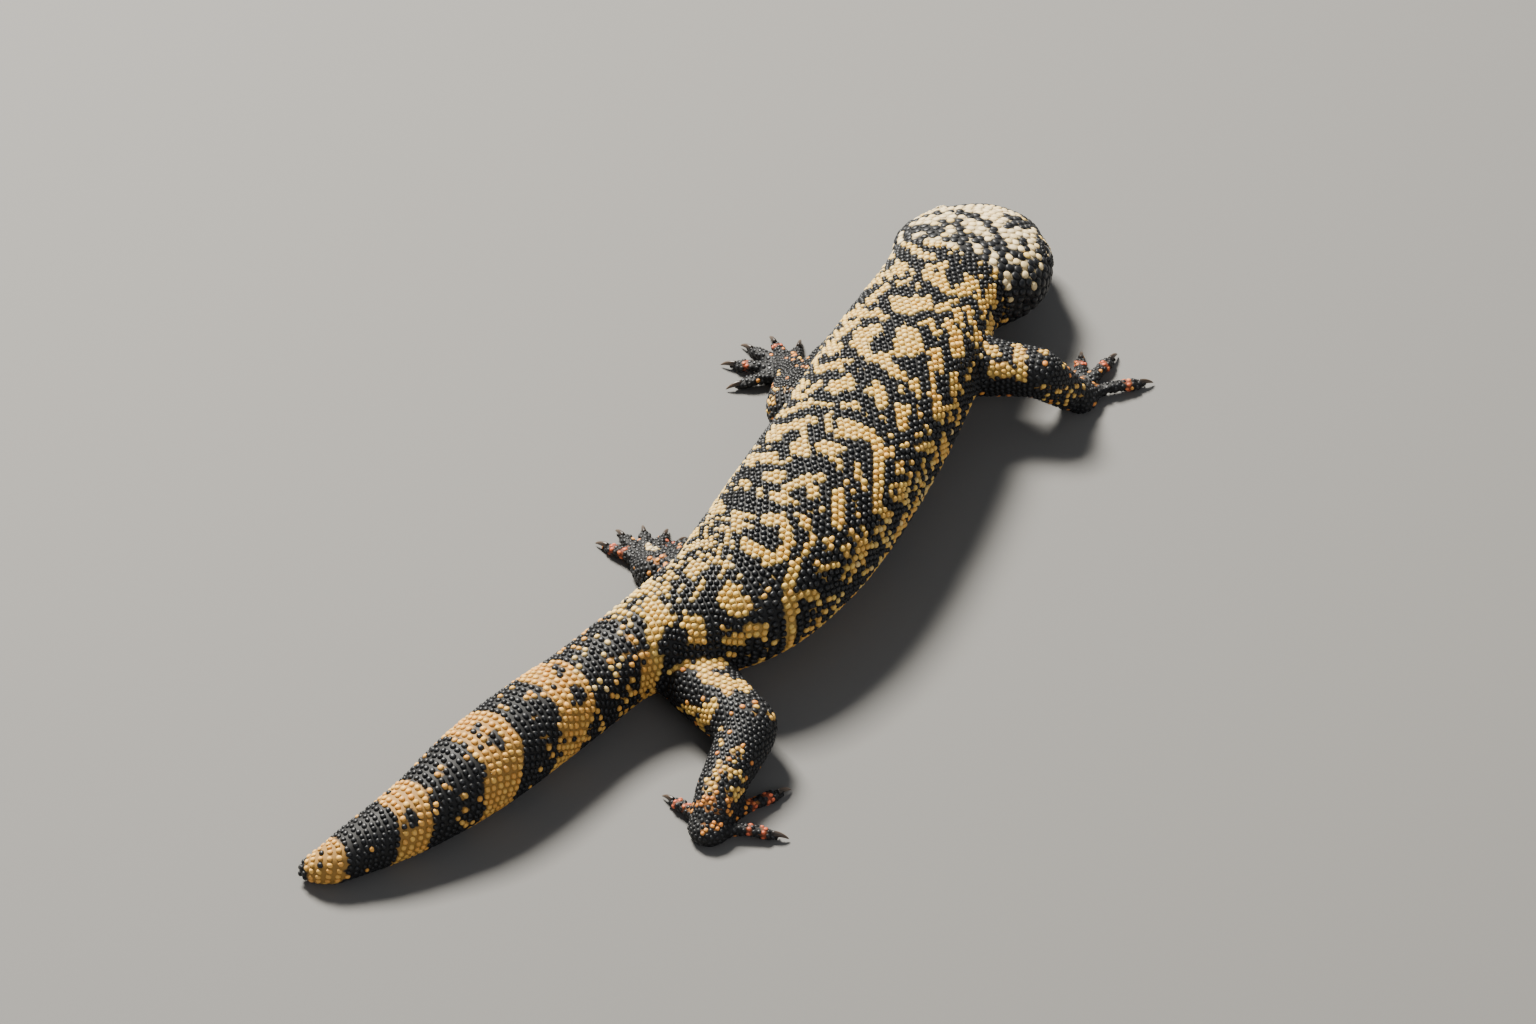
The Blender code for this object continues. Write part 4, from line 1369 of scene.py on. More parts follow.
@dataclass
class Skin:
    """One smooth hide in place of all the flesh nodes, with its folds, mouth line and pits."""

    flesh: Flesh
    finish: bpy.types.Material
    rounds: int = 44
    blur_rounds: int = 6
    blur_share: float = 0.6
    toe_radius: float = 4.0
    toe_swell: float = 0.38
    toe_upward: float = 0.2
    claw_room: float = 0.96
    lid_softness: float = 0.15
    pit_reach: float = 9.0
    lid_reach: float = 8.0
    fold_bend: float = 2.0
    fold_width: float = 1.6
    data: bpy.types.Mesh = field(init=False)
    places: Array = field(init=False)
    normals: Array = field(init=False)
    owners: Array = field(init=False)
    zones: Array = field(init=False)
    tree: BVHTree = field(init=False)

    def remesh(self) -> bpy.types.Mesh:
        """Fuses the flesh into one surface of even small squares."""
        joined = link("flesh", mesh_from("flesh", self.flesh.places, self.flesh.faces), None)
        modifier = joined.modifiers.new("fuse", "REMESH")
        modifier.mode = "VOXEL"
        modifier.voxel_size = VOXEL
        graph = bpy.context.evaluated_depsgraph_get()
        fused = bpy.data.meshes.new_from_object(joined.evaluated_get(graph))
        bpy.data.objects.remove(joined)
        return fused

    def smooth(self, places: Array, edges: Array, weight: Array) -> Array:
        """Evens out a surface by moving each point towards its neighbours.

        Args:
            places: One point a row.
            edges: The two points of each edge.
            weight: How much each point follows, from 0 to 1.

        Returns:
            The points, moved.
        """
        count = np.bincount(edges.ravel(), minlength=len(places)).astype(float)[:, None]
        for _ in range(self.rounds):
            total = np.stack([neighbour_sums(places[:, axis], edges) for axis in range(3)], axis=1)
            places = places + (total / count - places) * weight[:, None]
        return places

    def blur(self, values: Array, edges: Array) -> Array:
        """Spreads a value on the points over their neighbours."""
        count = np.bincount(edges.ravel(), minlength=len(values)).astype(float)
        for _ in range(self.blur_rounds):
            around = self.blur_share * neighbour_sums(values, edges) / count
            values = (1.0 - self.blur_share) * values + around
        return values

    def build(self) -> bpy.types.Object:
        """Makes the hide and gives its object."""
        data = self.remesh()
        edges = rows_of(data.edges, "vertices", 2, np.int32)
        places = points_of(data)
        self.owners = self.flesh.owners(places)
        self.zones = self.flesh.zones[self.owners]
        soft, deep = np.array([SKIN_BY_ZONE[zone] for zone in ZONES])[self.zones].T
        from_eye = smooth_step(HEAD_PLAN.eye_away(places) / MM, 6.0, 10.0)
        softness = self.blur(soft, edges) * (self.lid_softness + (1.0 - self.lid_softness) * from_eye)
        places = self.smooth(places, edges, softness)
        move(data, places)
        places = places - normals_of(data) * self.blur(deep * MM, edges)[:, None]
        places = self.shape_toes(places)
        places = places + normals_of(data) * self.relief(places)[:, None]
        places[:, 2] = np.maximum(places[:, 2], FLOOR_CLEAR)
        shade_smooth(data)
        move(data, places)
        data.name = "hide"
        self.data, self.places, self.normals = data, places, normals_of(data)
        data.calc_loop_triangles()
        corners = rows_of(data.loop_triangles, "vertices", 3, np.int32)
        self.tree = BVHTree.FromPolygons(places.tolist(), corners.tolist())
        return link("hide", data, self.finish)

    def land(self, places: Array) -> Array:
        """The point of the hide nearest to each place."""
        return np.array([self.tree.find_nearest(place)[0] for place in places.tolist()])

    def shape_toes(self, places: Array) -> Array:
        """Fills out the ends of the toes and draws the hide back from where the claws come out."""
        for leg in LEG_PLAN.values():
            for toe in leg.toes:
                start, end = leg.toe_line(toe)
                ahead = unit(end - start)
                tip = end + ahead * 0.3 * MM
                past = (places - tip) @ ahead
                away = (places - tip) - past[:, None] * ahead
                near = (np.linalg.norm(away, axis=1) < self.toe_radius * MM) & (past < 9.0 * MM)
                swell = self.toe_swell * smooth_step(past / MM / toe.length, -0.5, -0.12) * near
                places += away * np.array([1.0, 1.0, self.toe_upward]) * swell[:, None]
                claw = near & (past > 0.0)
                places[claw] -= ahead * (past[claw] * self.claw_room)[:, None]
        return places

    def relief(self, places: Array) -> Array:
        """How far the folds, the mouth line and the pits of the head lift or sink the hide."""
        plan = HEAD_PLAN
        along, aside, rise = BACK.measure(places)
        lift = np.zeros(len(places))
        ahead = (along - spine_at("nape")) / MM
        in_mouth = smooth_step(ahead, plan.mouth_corner - 2.0, plan.mouth_corner + 1.0)
        gap = (rise - plan.mouth_rise(along)) / MM
        lift -= plan.mouth_depth * MM * in_mouth * bell(gap, plan.mouth_width)
        for side in SIDES:
            for pit in (plan.nostril, plan.ear):
                away = plan.away(places, pit.spot, side) / MM
                lift -= pit.depth * MM * bell(away, pit.radius) * (away < self.pit_reach)
            from_eye, outward = places - plan.place(plan.eye, side), plan.eye_heading(side)
            out = from_eye @ outward
            ring = np.linalg.norm(from_eye - out[:, None] * outward, axis=1) / MM
            roll = bell(ring - plan.lid_radius, plan.lid_width) * (out > 0.0) * (ring < self.lid_reach)
            lift += plan.lid_height * MM * roll
        above_belly = smooth_step(-rise / MM, -16.0, 4.0)
        for name, offset, deep in NECK_FOLDS:
            bend = self.fold_bend * np.cos(aside / MM / 9.0)
            from_fold = (along - spine_at(name)) / MM - offset - bend
            lift -= deep * MM * bell(from_fold, self.fold_width) * above_belly
        return lift


@dataclass(frozen=True)
class ScaleSize:
    """The scales of one zone in millimetres: how far apart along and round, how high, and their sides."""

    along: float
    round: float
    height: float
    sides: int


SCALE_SIZES = {
    Zone.TAIL_TIP: ScaleSize(2.6, 2.4, 0.75, 10),
    Zone.TAIL_MIDDLE: ScaleSize(3.0, 2.8, 0.95, 10),
    Zone.TAIL_BASE: ScaleSize(3.0, 2.8, 0.95, 10),
    Zone.TORSO_REAR: ScaleSize(2.75, 2.75, 1.1, 10),
    Zone.TORSO_MID: ScaleSize(2.7, 2.75, 1.1, 10),
    Zone.TORSO_FORE: ScaleSize(2.7, 2.7, 1.1, 10),
    Zone.NECK: ScaleSize(2.6, 2.65, 1.0, 10),
    Zone.HEAD: ScaleSize(3.2, 3.2, 0.7, 10),
    Zone.LEG: ScaleSize(2.2, 2.2, 0.6, 8),
    Zone.FOOT: ScaleSize(1.75, 1.75, 0.4, 8),
}
# How much coarser or finer the scales of some nodes are than their zone's.
COARSENESS = {
    "right_fore_upper": 1.1,
    "right_hind_upper": 1.14,
    "left_hind_upper": 1.14,
    "left_fore_upper": 0.88,
    "left_fore_lower": 0.86,
}
# The station at which each zone of the body ends.
BODY_ZONES = (
    ("tail_6", Zone.TAIL_TIP),
    ("tail_3", Zone.TAIL_MIDDLE),
    ("tail_1", Zone.TAIL_BASE),
    ("flank_3", Zone.TORSO_REAR),
    ("flank_1", Zone.TORSO_MID),
    ("shoulders", Zone.TORSO_FORE),
    ("snout", Zone.NECK),
)
# The rings of scales on the lids: how far from the eye's middle in millimetres, and how many.
LID_RINGS = ((3.9, 16), (5.2, 19))
# How far the lips' scales stand from the mouth line and from each other, in millimetres.
LIP_RISE = 1.9
LIP_STEP = 2.7
# How much closer staggered rows lie than the scales in them.
STAGGER = 0.87
# The tail's first row of scales, and how far the rows run past the nape.
FIRST_ROW = 4.0 * MM
PAST_NAPE = 1.0 * MM


@dataclass
class Seeds:
    """Where the scales stand: a point, the way out and the node of each."""

    places: Array
    normals: Array
    owners: Array


@dataclass
class Layout:
    """Sets out the scales in rows round the body and the legs, then fills the head, feet and joints."""

    skin: Skin
    rays: int = 96
    leg_reach: float = 1.35
    fill_share: float = 0.86
    crowded: float = 0.62
    jitter: float = 0.27 * MM
    trunk_stretch: float = 1.5
    tail_stretch: float = 1.2
    cell: float = 4.0 * MM

    def cast(self, centre: Array, outward: Array) -> float:
        """The distance from a centre to the hide along a direction, or 0 where there is none."""
        hit = self.skin.tree.ray_cast(Vector(centre), Vector(outward))
        return hit[3] if hit[0] is not None else 0.0

    def ring(self, centre: Array, right: Array, up: Array, usual: float | None) -> tuple[Array, Array]:
        """The hide's own section about a centre.

        Args:
            centre: The middle of the section.
            right: One direction across it.
            up: The other.
            usual: The radius to expect, or nothing to take the median.

        Returns:
            The section's points, from the top round and back to it, and whether each is on this length.
        """
        turns = np.linspace(0.0, 2.0 * math.pi, self.rays + 1)
        ways = unit(np.sin(turns)[:, None] * right + np.cos(turns)[:, None] * up)
        reach = np.array([self.cast(centre, way) for way in ways])
        middle = usual or float(np.median(reach))
        good = (reach > 0.0) & (reach < self.leg_reach * middle)
        reach = np.where(good, reach, middle)
        return centre + ways * reach[:, None], good

    def march(self, section: Array, good: Array, spacing: float, shift: float, stretch: float) -> list[Array]:
        """Steps round a section both ways from the top, with wider steps on the belly.

        Args:
            section: The section's points.
            good: Whether each point is on this length of the body.
            spacing: The step on the back.
            shift: The first step's share of a whole one.
            stretch: How much wider the last steps are.

        Returns:
            The places of the scales.
        """
        arc = walked(section)
        half = arc[-1] / 2.0
        found = []
        for side in (1, -1):
            at = shift * spacing + (spacing if side < 0 and shift == 0.0 else 0.0)
            while at < half - spacing * 0.25:
                place = at if side > 0 else arc[-1] - at
                index = min(int(np.searchsorted(arc, place)), len(arc) - 1)
                if good[index] and good[index - 1]:
                    share = (place - arc[index - 1]) / max(arc[index] - arc[index - 1], 1e-9)
                    found.append(section[index - 1] + (section[index] - section[index - 1]) * share)
                belly = float(smooth_step(np.array(at / half), 0.62, 0.85))
                at += spacing * (1.0 + (stretch - 1.0) * belly)
        return found

    def body_rows(self) -> list[Array]:
        """Rows of scales across the tail, the trunk and the neck."""
        found = []
        along, row = FIRST_ROW, 0
        bounds = [(spine_at(name), zone) for name, zone in BODY_ZONES]
        while along < spine_at("nape") + PAST_NAPE:
            zone = next(zone for limit, zone in bounds if along <= limit)
            in_trunk = zone in TRUNK
            size = SCALE_SIZES[zone]
            centre, ahead, right, up = BACK.stand(along)
            upright = float(smooth_step(np.array(along), spine_at("tail_1"), spine_at("flank_3")))
            section, good = self.ring(centre, right, up + RING_SLANT * (1.0 - upright) * ahead, None)
            stretch = self.trunk_stretch if in_trunk else self.tail_stretch
            found += self.march(section, good, size.round * MM, 0.5 * (row % 2), stretch)
            along += size.along * MM * (STAGGER if in_trunk else 1.0)
            row += 1
        return found

    def leg_rows(self) -> list[Array]:
        """Rows of scales round the upper and lower lengths of every leg."""
        found = []
        for name, leg in LEG_PLAN.items():
            joints = [leg.point(joint) for joint in ("root", "middle", "end")]
            parts = zip(joints[:-1], joints[1:], leg.radii[1:3], ("_upper", "_lower"))
            for start, end, radius, part in parts:
                ahead = unit(end - start)
                right = unit(np.cross(ahead, UP))
                up = np.cross(right, ahead)
                step = SCALE_SIZES[Zone.LEG].along * COARSENESS.get(name + part, 1.0) * MM
                for row in range(int(float(np.linalg.norm(end - start)) / (step * STAGGER))):
                    centre = start + ahead * row * step * STAGGER
                    section, good = self.ring(centre, right, up, radius * MM)
                    found += self.march(section, good, step, 0.5 * (row % 2), 1.0)
        return found

    def lid_rows(self) -> list[Array]:
        """Rings of small scales on the lids of both eyes."""
        found = []
        for side in SIDES:
            middle, outward = HEAD_PLAN.place(HEAD_PLAN.eye, side), HEAD_PLAN.eye_heading(side)
            ahead = unit(np.cross(UP, outward))
            up = np.cross(outward, ahead)
            for radius, count in LID_RINGS:
                for turn in np.arange(count) * (2.0 * math.pi / count) + radius:
                    spot = (ahead * math.cos(turn) + up * 0.86 * math.sin(turn)) * radius * MM
                    start = middle + spot + outward * 12.0 * MM
                    reach = self.cast(start, -outward)
                    if 0.0 < reach < 16.0 * MM:
                        found.append(start - outward * reach)
        return found

    def lip_rows(self) -> list[Array]:
        """The rows of larger scales along the upper and the lower lip, round the snout."""
        found = []
        pivot = HEAD_PLAN.along(42.0)
        for rise in (LIP_RISE, -LIP_RISE):
            line = []
            for share in np.linspace(-1.0, 1.0, 241):
                turn = share * math.radians(150.0)
                back = max(abs(turn) - math.pi / 2.0, 0.0)
                along = pivot - back * 24.0 * MM
                middle, forward, right, up = BACK.stand(along)
                way = math.copysign(1.0, share) * right
                if back == 0.0:
                    way = forward * math.cos(turn) + right * math.sin(turn)
                start = middle + up * (HEAD_PLAN.mouth_rise(along) + rise * MM)
                reach = self.cast(start, way)
                if reach > 0.0:
                    line.append(start + way * reach)
            line = np.array(line)
            steps = walked(line)
            for place in np.arange(0.5 * LIP_STEP, steps[-1] / MM, LIP_STEP) * MM:
                found.append(np.array([np.interp(place, steps, line[:, axis]) for axis in range(3)]))
        return found

    def pitch(self, zones: Array, owners: Array) -> Array:
        """How far apart the scales of each zone and node are on average."""
        table = np.array([(SCALE_SIZES[zone].along + SCALE_SIZES[zone].round) / 2.0 for zone in ZONES])
        coarseness = np.array([COARSENESS.get(name, 1.0) for name in self.skin.flesh.nodes])
        return table[zones] * coarseness[owners] * MM

    def local_pitch(self, places: Array, zones: Array, owners: Array) -> Array:
        """The average spacing at places, finer towards the snout and the eyes."""
        pitch = self.pitch(zones, owners)
        along = BACK.measure(places)[0]
        snout = smooth_step(along, HEAD_PLAN.along(30.0), HEAD_PLAN.along(54.0))
        from_eye = smooth_step(HEAD_PLAN.eye_away(places), 4.0 * MM, 10.0 * MM)
        on_head = pitch * (1.0 - 0.25 * snout) * (0.5 + 0.5 * from_eye)
        return np.where(is_in(zones, Zone.HEAD), on_head, pitch)

    def bare(self, places: Array) -> Array:
        """Whether places have no scales: in the mouth line, the nostrils, the ears and round the eyes."""
        plan = HEAD_PLAN
        along, _, rise = BACK.measure(places)
        ahead = (along - spine_at("nape")) / MM
        gap = np.abs(rise - plan.mouth_rise(along)) / MM
        bare = (ahead > plan.mouth_corner - 1.0) & (gap < plan.mouth_bare)
        bare |= plan.eye_away(places) < plan.eye_bare * MM
        for side in SIDES:
            for pit in (plan.nostril, plan.ear):
                bare |= plan.away(places, pit.spot, side) < pit.bare * MM
        return bare

    def thin(self, places: Array) -> Array:
        """Drops scales that crowd one set out before them."""
        skin = self.skin
        nearest, _ = nearest_in(search_tree(skin.places), places)
        least = self.pitch(skin.zones[nearest], skin.owners[nearest]) * self.crowded
        tree = search_tree(places)
        kept = np.ones(len(places), bool)
        for index, place in enumerate(places.tolist()):
            if kept[index]:
                for _, other, _ in tree.find_range(place, float(least[index])):
                    if other > index:
                        kept[other] = False
        return places[kept]

    def fill(self, rows: Array) -> Array:
        """Adds scales wherever the hide is farther from a scale than about one spacing.

        Args:
            rows: The scales already set out.

        Returns:
            The scales added.
        """
        skin = self.skin
        pitch = self.local_pitch(skin.places, skin.zones, skin.owners) * self.fill_share
        _, away = nearest_in(search_tree(rows), skin.places)
        free = np.flatnonzero((away > pitch) & ~self.bare(skin.places))
        np.random.default_rng(FILL_SEED).shuffle(free)
        cells: dict[tuple[int, int, int], list[int]] = {}
        keys = np.floor(skin.places / self.cell).astype(int)
        taken = []
        for index in free.tolist():
            x, y, z = keys[index].tolist()
            near = [
                other
                for i in (x - 1, x, x + 1)
                for j in (y - 1, y, y + 1)
                for k in (z - 1, z, z + 1)
                for other in cells.get((i, j, k), ())
            ]
            if near:
                gaps = ((skin.places[near] - skin.places[index]) ** 2).sum(axis=1)
                alike = (skin.normals[near] @ skin.normals[index]) > -0.2
                if ((gaps < pitch[index] * pitch[index]) & alike).any():
                    continue
            cells.setdefault((x, y, z), []).append(index)
            taken.append(index)
        return skin.places[taken]

    def relax(self, fixed: Array, loose: Array, rounds: int = 3) -> Array:
        """Moves the added scales to the middle of the room that each has."""
        places = self.skin.places
        for _ in range(rounds):
            nearest = nearest_in(search_tree(np.concatenate([fixed, loose])), places)[0] - len(fixed)
            mine = nearest >= 0
            count = np.bincount(nearest[mine], minlength=len(loose)).astype(float)
            middle = np.stack([np.bincount(nearest[mine], row[mine], len(loose)) for row in places.T], axis=1)
            has = count > 0
            loose[has] = middle[has] / count[has, None]
        return loose

    def build(self) -> Seeds:
        """Sets out all the scales."""
        skin = self.skin
        rows = self.thin(np.array(self.body_rows() + self.leg_rows()))
        rows = rows[~self.bare(rows)]
        rows += np.random.default_rng(JITTER_SEED).normal(0.0, self.jitter, rows.shape)
        rows = np.concatenate([rows, np.array(self.lip_rows() + self.lid_rows())])
        loose = self.relax(rows, self.fill(rows))
        places = skin.land(np.concatenate([rows, loose]))
        nearest, _ = nearest_in(search_tree(skin.places), places)
        LOG.info("%d scales in rows and %d between them", len(rows), len(loose))
        return Seeds(places, skin.normals[nearest], skin.owners[nearest])


# A scale's rings from its foot to near its top: the share of its outline, and of its height.
DOME = ((1.0, -0.25), (0.94, 0.34), (0.7, 0.79), (0.36, 0.97))


@dataclass(frozen=True)
class ScaleMap:
    """The map of the coat: the body unrolled over the lower part, with the four legs above it."""

    margin: float = 0.02
    patch: float = 0.003
    body_length: float = 0.96
    body_girth: float = 0.52
    leg_foot: float = 0.58
    leg_step: float = 0.245
    leg_girth: float = 0.22
    leg_length: float = 0.4
    leg_before: float = 20.0
    leg_reach: float = 130.0

    def spots(self, coat: "Coat", chosen: Array) -> tuple[Array, Array]:
        """Where each of the chosen scales has its own place on the map."""
        centre, owners = coat.seeds.places[chosen], coat.seeds.owners[chosen]
        along, aside, rise = BACK.measure(centre)
        u = np.clip(along / BACK.length, 0.0, 1.0) * self.body_length + self.margin
        v = self.margin + (np.arctan2(aside, rise) / (2.0 * math.pi) + 0.5) * self.body_girth
        for index, leg_name in enumerate(LEGS):
            leg = LEG_PLAN[leg_name]
            nodes = [i for i, name in enumerate(coat.skin.flesh.nodes) if name.startswith(leg_name)]
            mine = np.isin(owners, nodes)
            start, end = leg.point("root"), np.array([*leg.point("end")[:2], 0.0])
            axis = unit(end - start)
            away = centre[mine] - start
            right = unit(np.cross(axis, UP))
            turn = np.arctan2(away @ right, away @ np.cross(right, axis))
            reach = ((away @ axis) / MM + self.leg_before) / self.leg_reach
            u[mine] = self.margin + index * self.leg_step + (turn / (2.0 * math.pi) + 0.5) * self.leg_girth
            v[mine] = self.leg_foot + np.clip(reach, 0.0, 1.0) * self.leg_length
        return u, v

    def unwrap(self, data: bpy.types.Mesh, coat: "Coat", chosen: Array, places: Array, faces: Array) -> None:
        """Gives each chosen scale of a piece a small patch of the map at its own place."""
        u, v = self.spots(coat, chosen)
        spread = places - coat.seeds.places[chosen][:, None]
        x = (spread * coat.tangent[chosen][:, None]).sum(axis=2)
        y = (spread * coat.across[chosen][:, None]).sum(axis=2)
        size = np.maximum(np.hypot(x, y).max(axis=1), 1e-6)[:, None] * 2.0 / self.patch
        uv = np.stack([u[:, None] + x / size, v[:, None] + y / size], axis=2).reshape(-1, 2)
        layer = data.uv_layers.new(name="OFBake")
        layer.data.foreach_set("uv", uv[faces.ravel()].astype(np.float32).ravel())


@dataclass
class Coat:
    """The bead scales, joined into one piece for each length of the animal."""

    layout: Layout
    markings: Markings
    finish: bpy.types.Material
    scale_map: ScaleMap = ScaleMap()
    neighbours: int = 9
    corner: float = 5.0
    room: float = 0.99
    head_room: float = 1.07
    widest: float = 0.66
    uneven: float = 0.1
    tail_squeeze: float = 0.16
    flatter: float = 0.68
    least_drop: float = -0.8 * MM
    most_drop: float = 0.4 * MM
    skin: Skin = field(init=False)
    seeds: Seeds = field(init=False)
    zones: Array = field(init=False)
    near: Array = field(init=False)
    tangent: Array = field(init=False)
    across: Array = field(init=False)
    pitch: Array = field(init=False)
    height: Array = field(init=False)
    colours: Colours = field(init=False)

    def set_out(self) -> None:
        """Works out where every scale stands, which way it lies, its neighbours, size and colours."""
        self.skin = self.layout.skin
        self.seeds = seeds = self.layout.build()
        flesh = self.skin.flesh
        self.zones = flesh.zones[seeds.owners]
        tree = search_tree(seeds.places)
        near = [tree.find_n(place, self.neighbours)[1:] for place in seeds.places.tolist()]
        self.near = np.array([[hit[1] for hit in hits] for hits in near])
        along, aside, rise = BACK.measure(seeds.places)
        forward = BACK.axes(along)[0]
        for index, name in enumerate(flesh.nodes):
            leg = LEG_PLAN.get(name.rsplit("_", 1)[0])
            if leg is not None:
                forward[seeds.owners == index] = unit(leg.point("end") - leg.point("middle"))
        self.across = unit(np.cross(seeds.normals, forward))
        self.tangent = np.cross(self.across, seeds.normals)
        draws = np.random.default_rng(DRAW_SEED).random((len(seeds.places), 5))
        self.colours = self.markings.paint(seeds.places, seeds.normals, self.zones, draws[:, :4])
        under = smooth_step(-np.cos(np.arctan2(aside, rise)), 0.1, 0.6) * is_in(self.zones, *TAIL, *TRUNK)
        heights = np.array([SCALE_SIZES[zone].height for zone in ZONES])[self.zones]
        self.height = heights * MM * (0.88 + 0.24 * draws[:, 4]) * (1.0 - self.flatter * under)
        self.pitch = self.layout.local_pitch(seeds.places, self.zones, seeds.owners)
        self.height *= np.minimum(self.pitch / self.layout.pitch(self.zones, seeds.owners), 1.0)

    def groups(self) -> dict[str, list[int]]:
        """The pieces of the coat and the nodes that each covers."""
        groups: dict[str, list[int]] = {}
        for index, name in enumerate(self.skin.flesh.nodes):
            zone = zone_of(name)
            label = zone.value
            if zone in (Zone.LEG, Zone.FOOT):
                label = name.rsplit("_", 1)[0] + "_" + zone.value
            groups.setdefault("scales_" + label, []).append(index)
        return groups

    def outlines(self, chosen: Array, turns: Array) -> Array:
        """How far each scale reaches towards its neighbours.

        Args:
            chosen: Which scales.
            turns: The directions to look in, as angles.

        Returns:
            One row of radii a scale.
        """
        places, normals = self.seeds.places, self.seeds.normals
        widest = self.widest * self.pitch[chosen, None]
        total = np.repeat((1.0 / widest) ** self.corner, len(turns), axis=1)
        for other in self.near[chosen].T:
            away = places[other] - places[chosen]
            alike = (normals[other] * normals[chosen]).sum(axis=1) > 0.2
            x, y = (away * self.tangent[chosen]).sum(axis=1), (away * self.across[chosen]).sum(axis=1)
            span = np.maximum(np.hypot(x, y), 1e-6)
            lean = (np.cos(turns)[None] * x[:, None] + np.sin(turns)[None] * y[:, None]) / span[:, None]
            share = np.maximum(lean, 0.0) / (span[:, None] / 2.0)
            total += np.where((alike & (span > 0.4 * MM))[:, None], share**self.corner, 0.0)
        in_head, in_tail = is_in(self.zones[chosen], Zone.HEAD), is_in(self.zones[chosen], *TAIL)
        reach = total ** (-1.0 / self.corner) * np.where(in_head, self.head_room, self.room)[:, None]
        uneven = 1.0 - self.uneven * np.random.default_rng(OUTLINE_SEED).random(len(places))[chosen]
        squeeze = 1.0 - self.tail_squeeze * in_tail[:, None] * np.cos(turns)[None] ** 2
        return reach * uneven[:, None] * squeeze

    def triangles(self, sides: int) -> Array:
        """The triangles of one scale, as the places of its points from the lowest ring to the top."""
        found = []
        for ring in range(len(DOME) - 1):
            low, high = ring * sides, (ring + 1) * sides
            for side in range(sides):
                after = (side + 1) % sides
                found.append((low + side, low + after, high + after))
                found.append((low + side, high + after, high + side))
        last = (len(DOME) - 1) * sides
        found += [(last + side, last + (side + 1) % sides, len(DOME) * sides) for side in range(sides)]
        return np.array(found)

    def piece(self, name: str, chosen: Array, sides: int) -> bpy.types.Object:
        """Makes the scales of one piece of the coat.

        Args:
            name: The piece's name.
            chosen: Which scales it has.
            sides: How many sides each scale has.

        Returns:
            The piece's object.
        """
        turns = 2.0 * math.pi * np.arange(sides) / sides
        reach = self.outlines(chosen, turns)
        centre, normal = self.seeds.places[chosen][:, None], self.seeds.normals[chosen][:, None]
        height = self.height[chosen, None]
        way = (
            np.cos(turns)[None, :, None] * self.tangent[chosen][:, None]
            + np.sin(turns)[None, :, None] * self.across[chosen][:, None]
        )
        flat = centre + way * reach[..., None]
        landed = self.skin.land(flat.reshape(-1, 3)).reshape(flat.shape)
        drop = np.clip(((landed - centre) * normal).sum(axis=2), self.least_drop, self.most_drop)
        rings, lifts = [], []
        for share, rise in DOME:
            lift = height * rise + drop * share**2
            rings.append(centre + way * (reach * share)[..., None] + normal * lift[..., None])
            lifts.append(np.full(reach.shape, max(rise, 0.0)))
        places = np.concatenate([*rings, centre + normal * height[..., None]], axis=1)
        places[..., 2] = np.maximum(places[..., 2], SCALE_CLEAR)
        lifts = np.concatenate([*lifts, np.ones((len(chosen), 1))], axis=1)
        per_scale = places.shape[1]
        starts = (np.arange(len(chosen)) * per_scale)[:, None, None]
        faces = (self.triangles(sides)[None] + starts).reshape(-1, 3)
        data = mesh_from(name, places.reshape(-1, 3), faces)
        store(data, "lift", lifts)
        self.colours.store_on(data, np.repeat(chosen, per_scale))
        self.scale_map.unwrap(data, self, chosen, places, faces)
        LOG.info("%s: %d scales, %d triangles", name, len(chosen), len(faces))
        return link(name, data, self.finish)

    def build(self) -> list[bpy.types.Object]:
        """Makes every piece of the coat."""
        self.set_out()
        made = []
        for name, members in self.groups().items():
            chosen = np.flatnonzero(np.isin(self.seeds.owners, members))
            sides = SCALE_SIZES[zone_of(self.skin.flesh.nodes[members[0]])].sides
            made.append(self.piece(name, chosen, sides))
        return made


@dataclass
class Eye:
    """One dark eye in place of the frame's plain ball."""

    side: int
    finish: bpy.types.Material
    segments: int = 36
    rings: int = 24
    bulge: float = 0.035
    bulge_width: float = 0.16
    inset: float = 0.1

    def ball(self) -> tuple[Array, list[tuple[int, ...]]]:
        """The points and faces of a ball of radius one, from the pole in front to the one behind."""
        turns = 2.0 * math.pi * np.arange(self.segments) / self.segments
        level = np.stack([np.cos(turns), np.sin(turns), np.zeros(self.segments)], axis=1)
        falls = math.pi * np.arange(1, self.rings) / self.rings
        rows = [level * math.sin(fall) + UP * math.cos(fall) for fall in falls]
        faces = ring_faces(1, self.rings - 2, self.segments)
        last = 1 + (self.rings - 1) * self.segments
        for corner in range(self.segments):
            after = (corner + 1) % self.segments
            faces.append((0, 1 + corner, 1 + after))
            faces.append((last, last - self.segments + after, last - self.segments + corner))
        return np.concatenate([UP[None], *rows, -UP[None]]), faces

    def build(self) -> bpy.types.Object:
        """Makes the eye with a raised front."""
        name = "eye_left" if self.side < 0 else "eye_right"
        places, faces = self.ball()
        from_pupil = np.arccos(np.clip(places[:, 2], -1.0, 1.0)) / math.pi
        raised = places * (1.0 + self.bulge * bell(from_pupil, self.bulge_width))[:, None]
        axis = HEAD_PLAN.eye_heading(self.side)
        x_axis = unit(np.cross(UP, axis))
        turned = np.stack([x_axis, np.cross(axis, x_axis), axis])
        radius = (HEAD_PLAN.eye_radius - self.inset) * MM
        data = small_mesh(name, HEAD_PLAN.place(HEAD_PLAN.eye, self.side) + raised @ turned * radius, faces)
        store(data, "from_pupil", from_pupil)
        made = link(name + "_ball", data, self.finish)
        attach(made, "root")
        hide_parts(name)
        return made


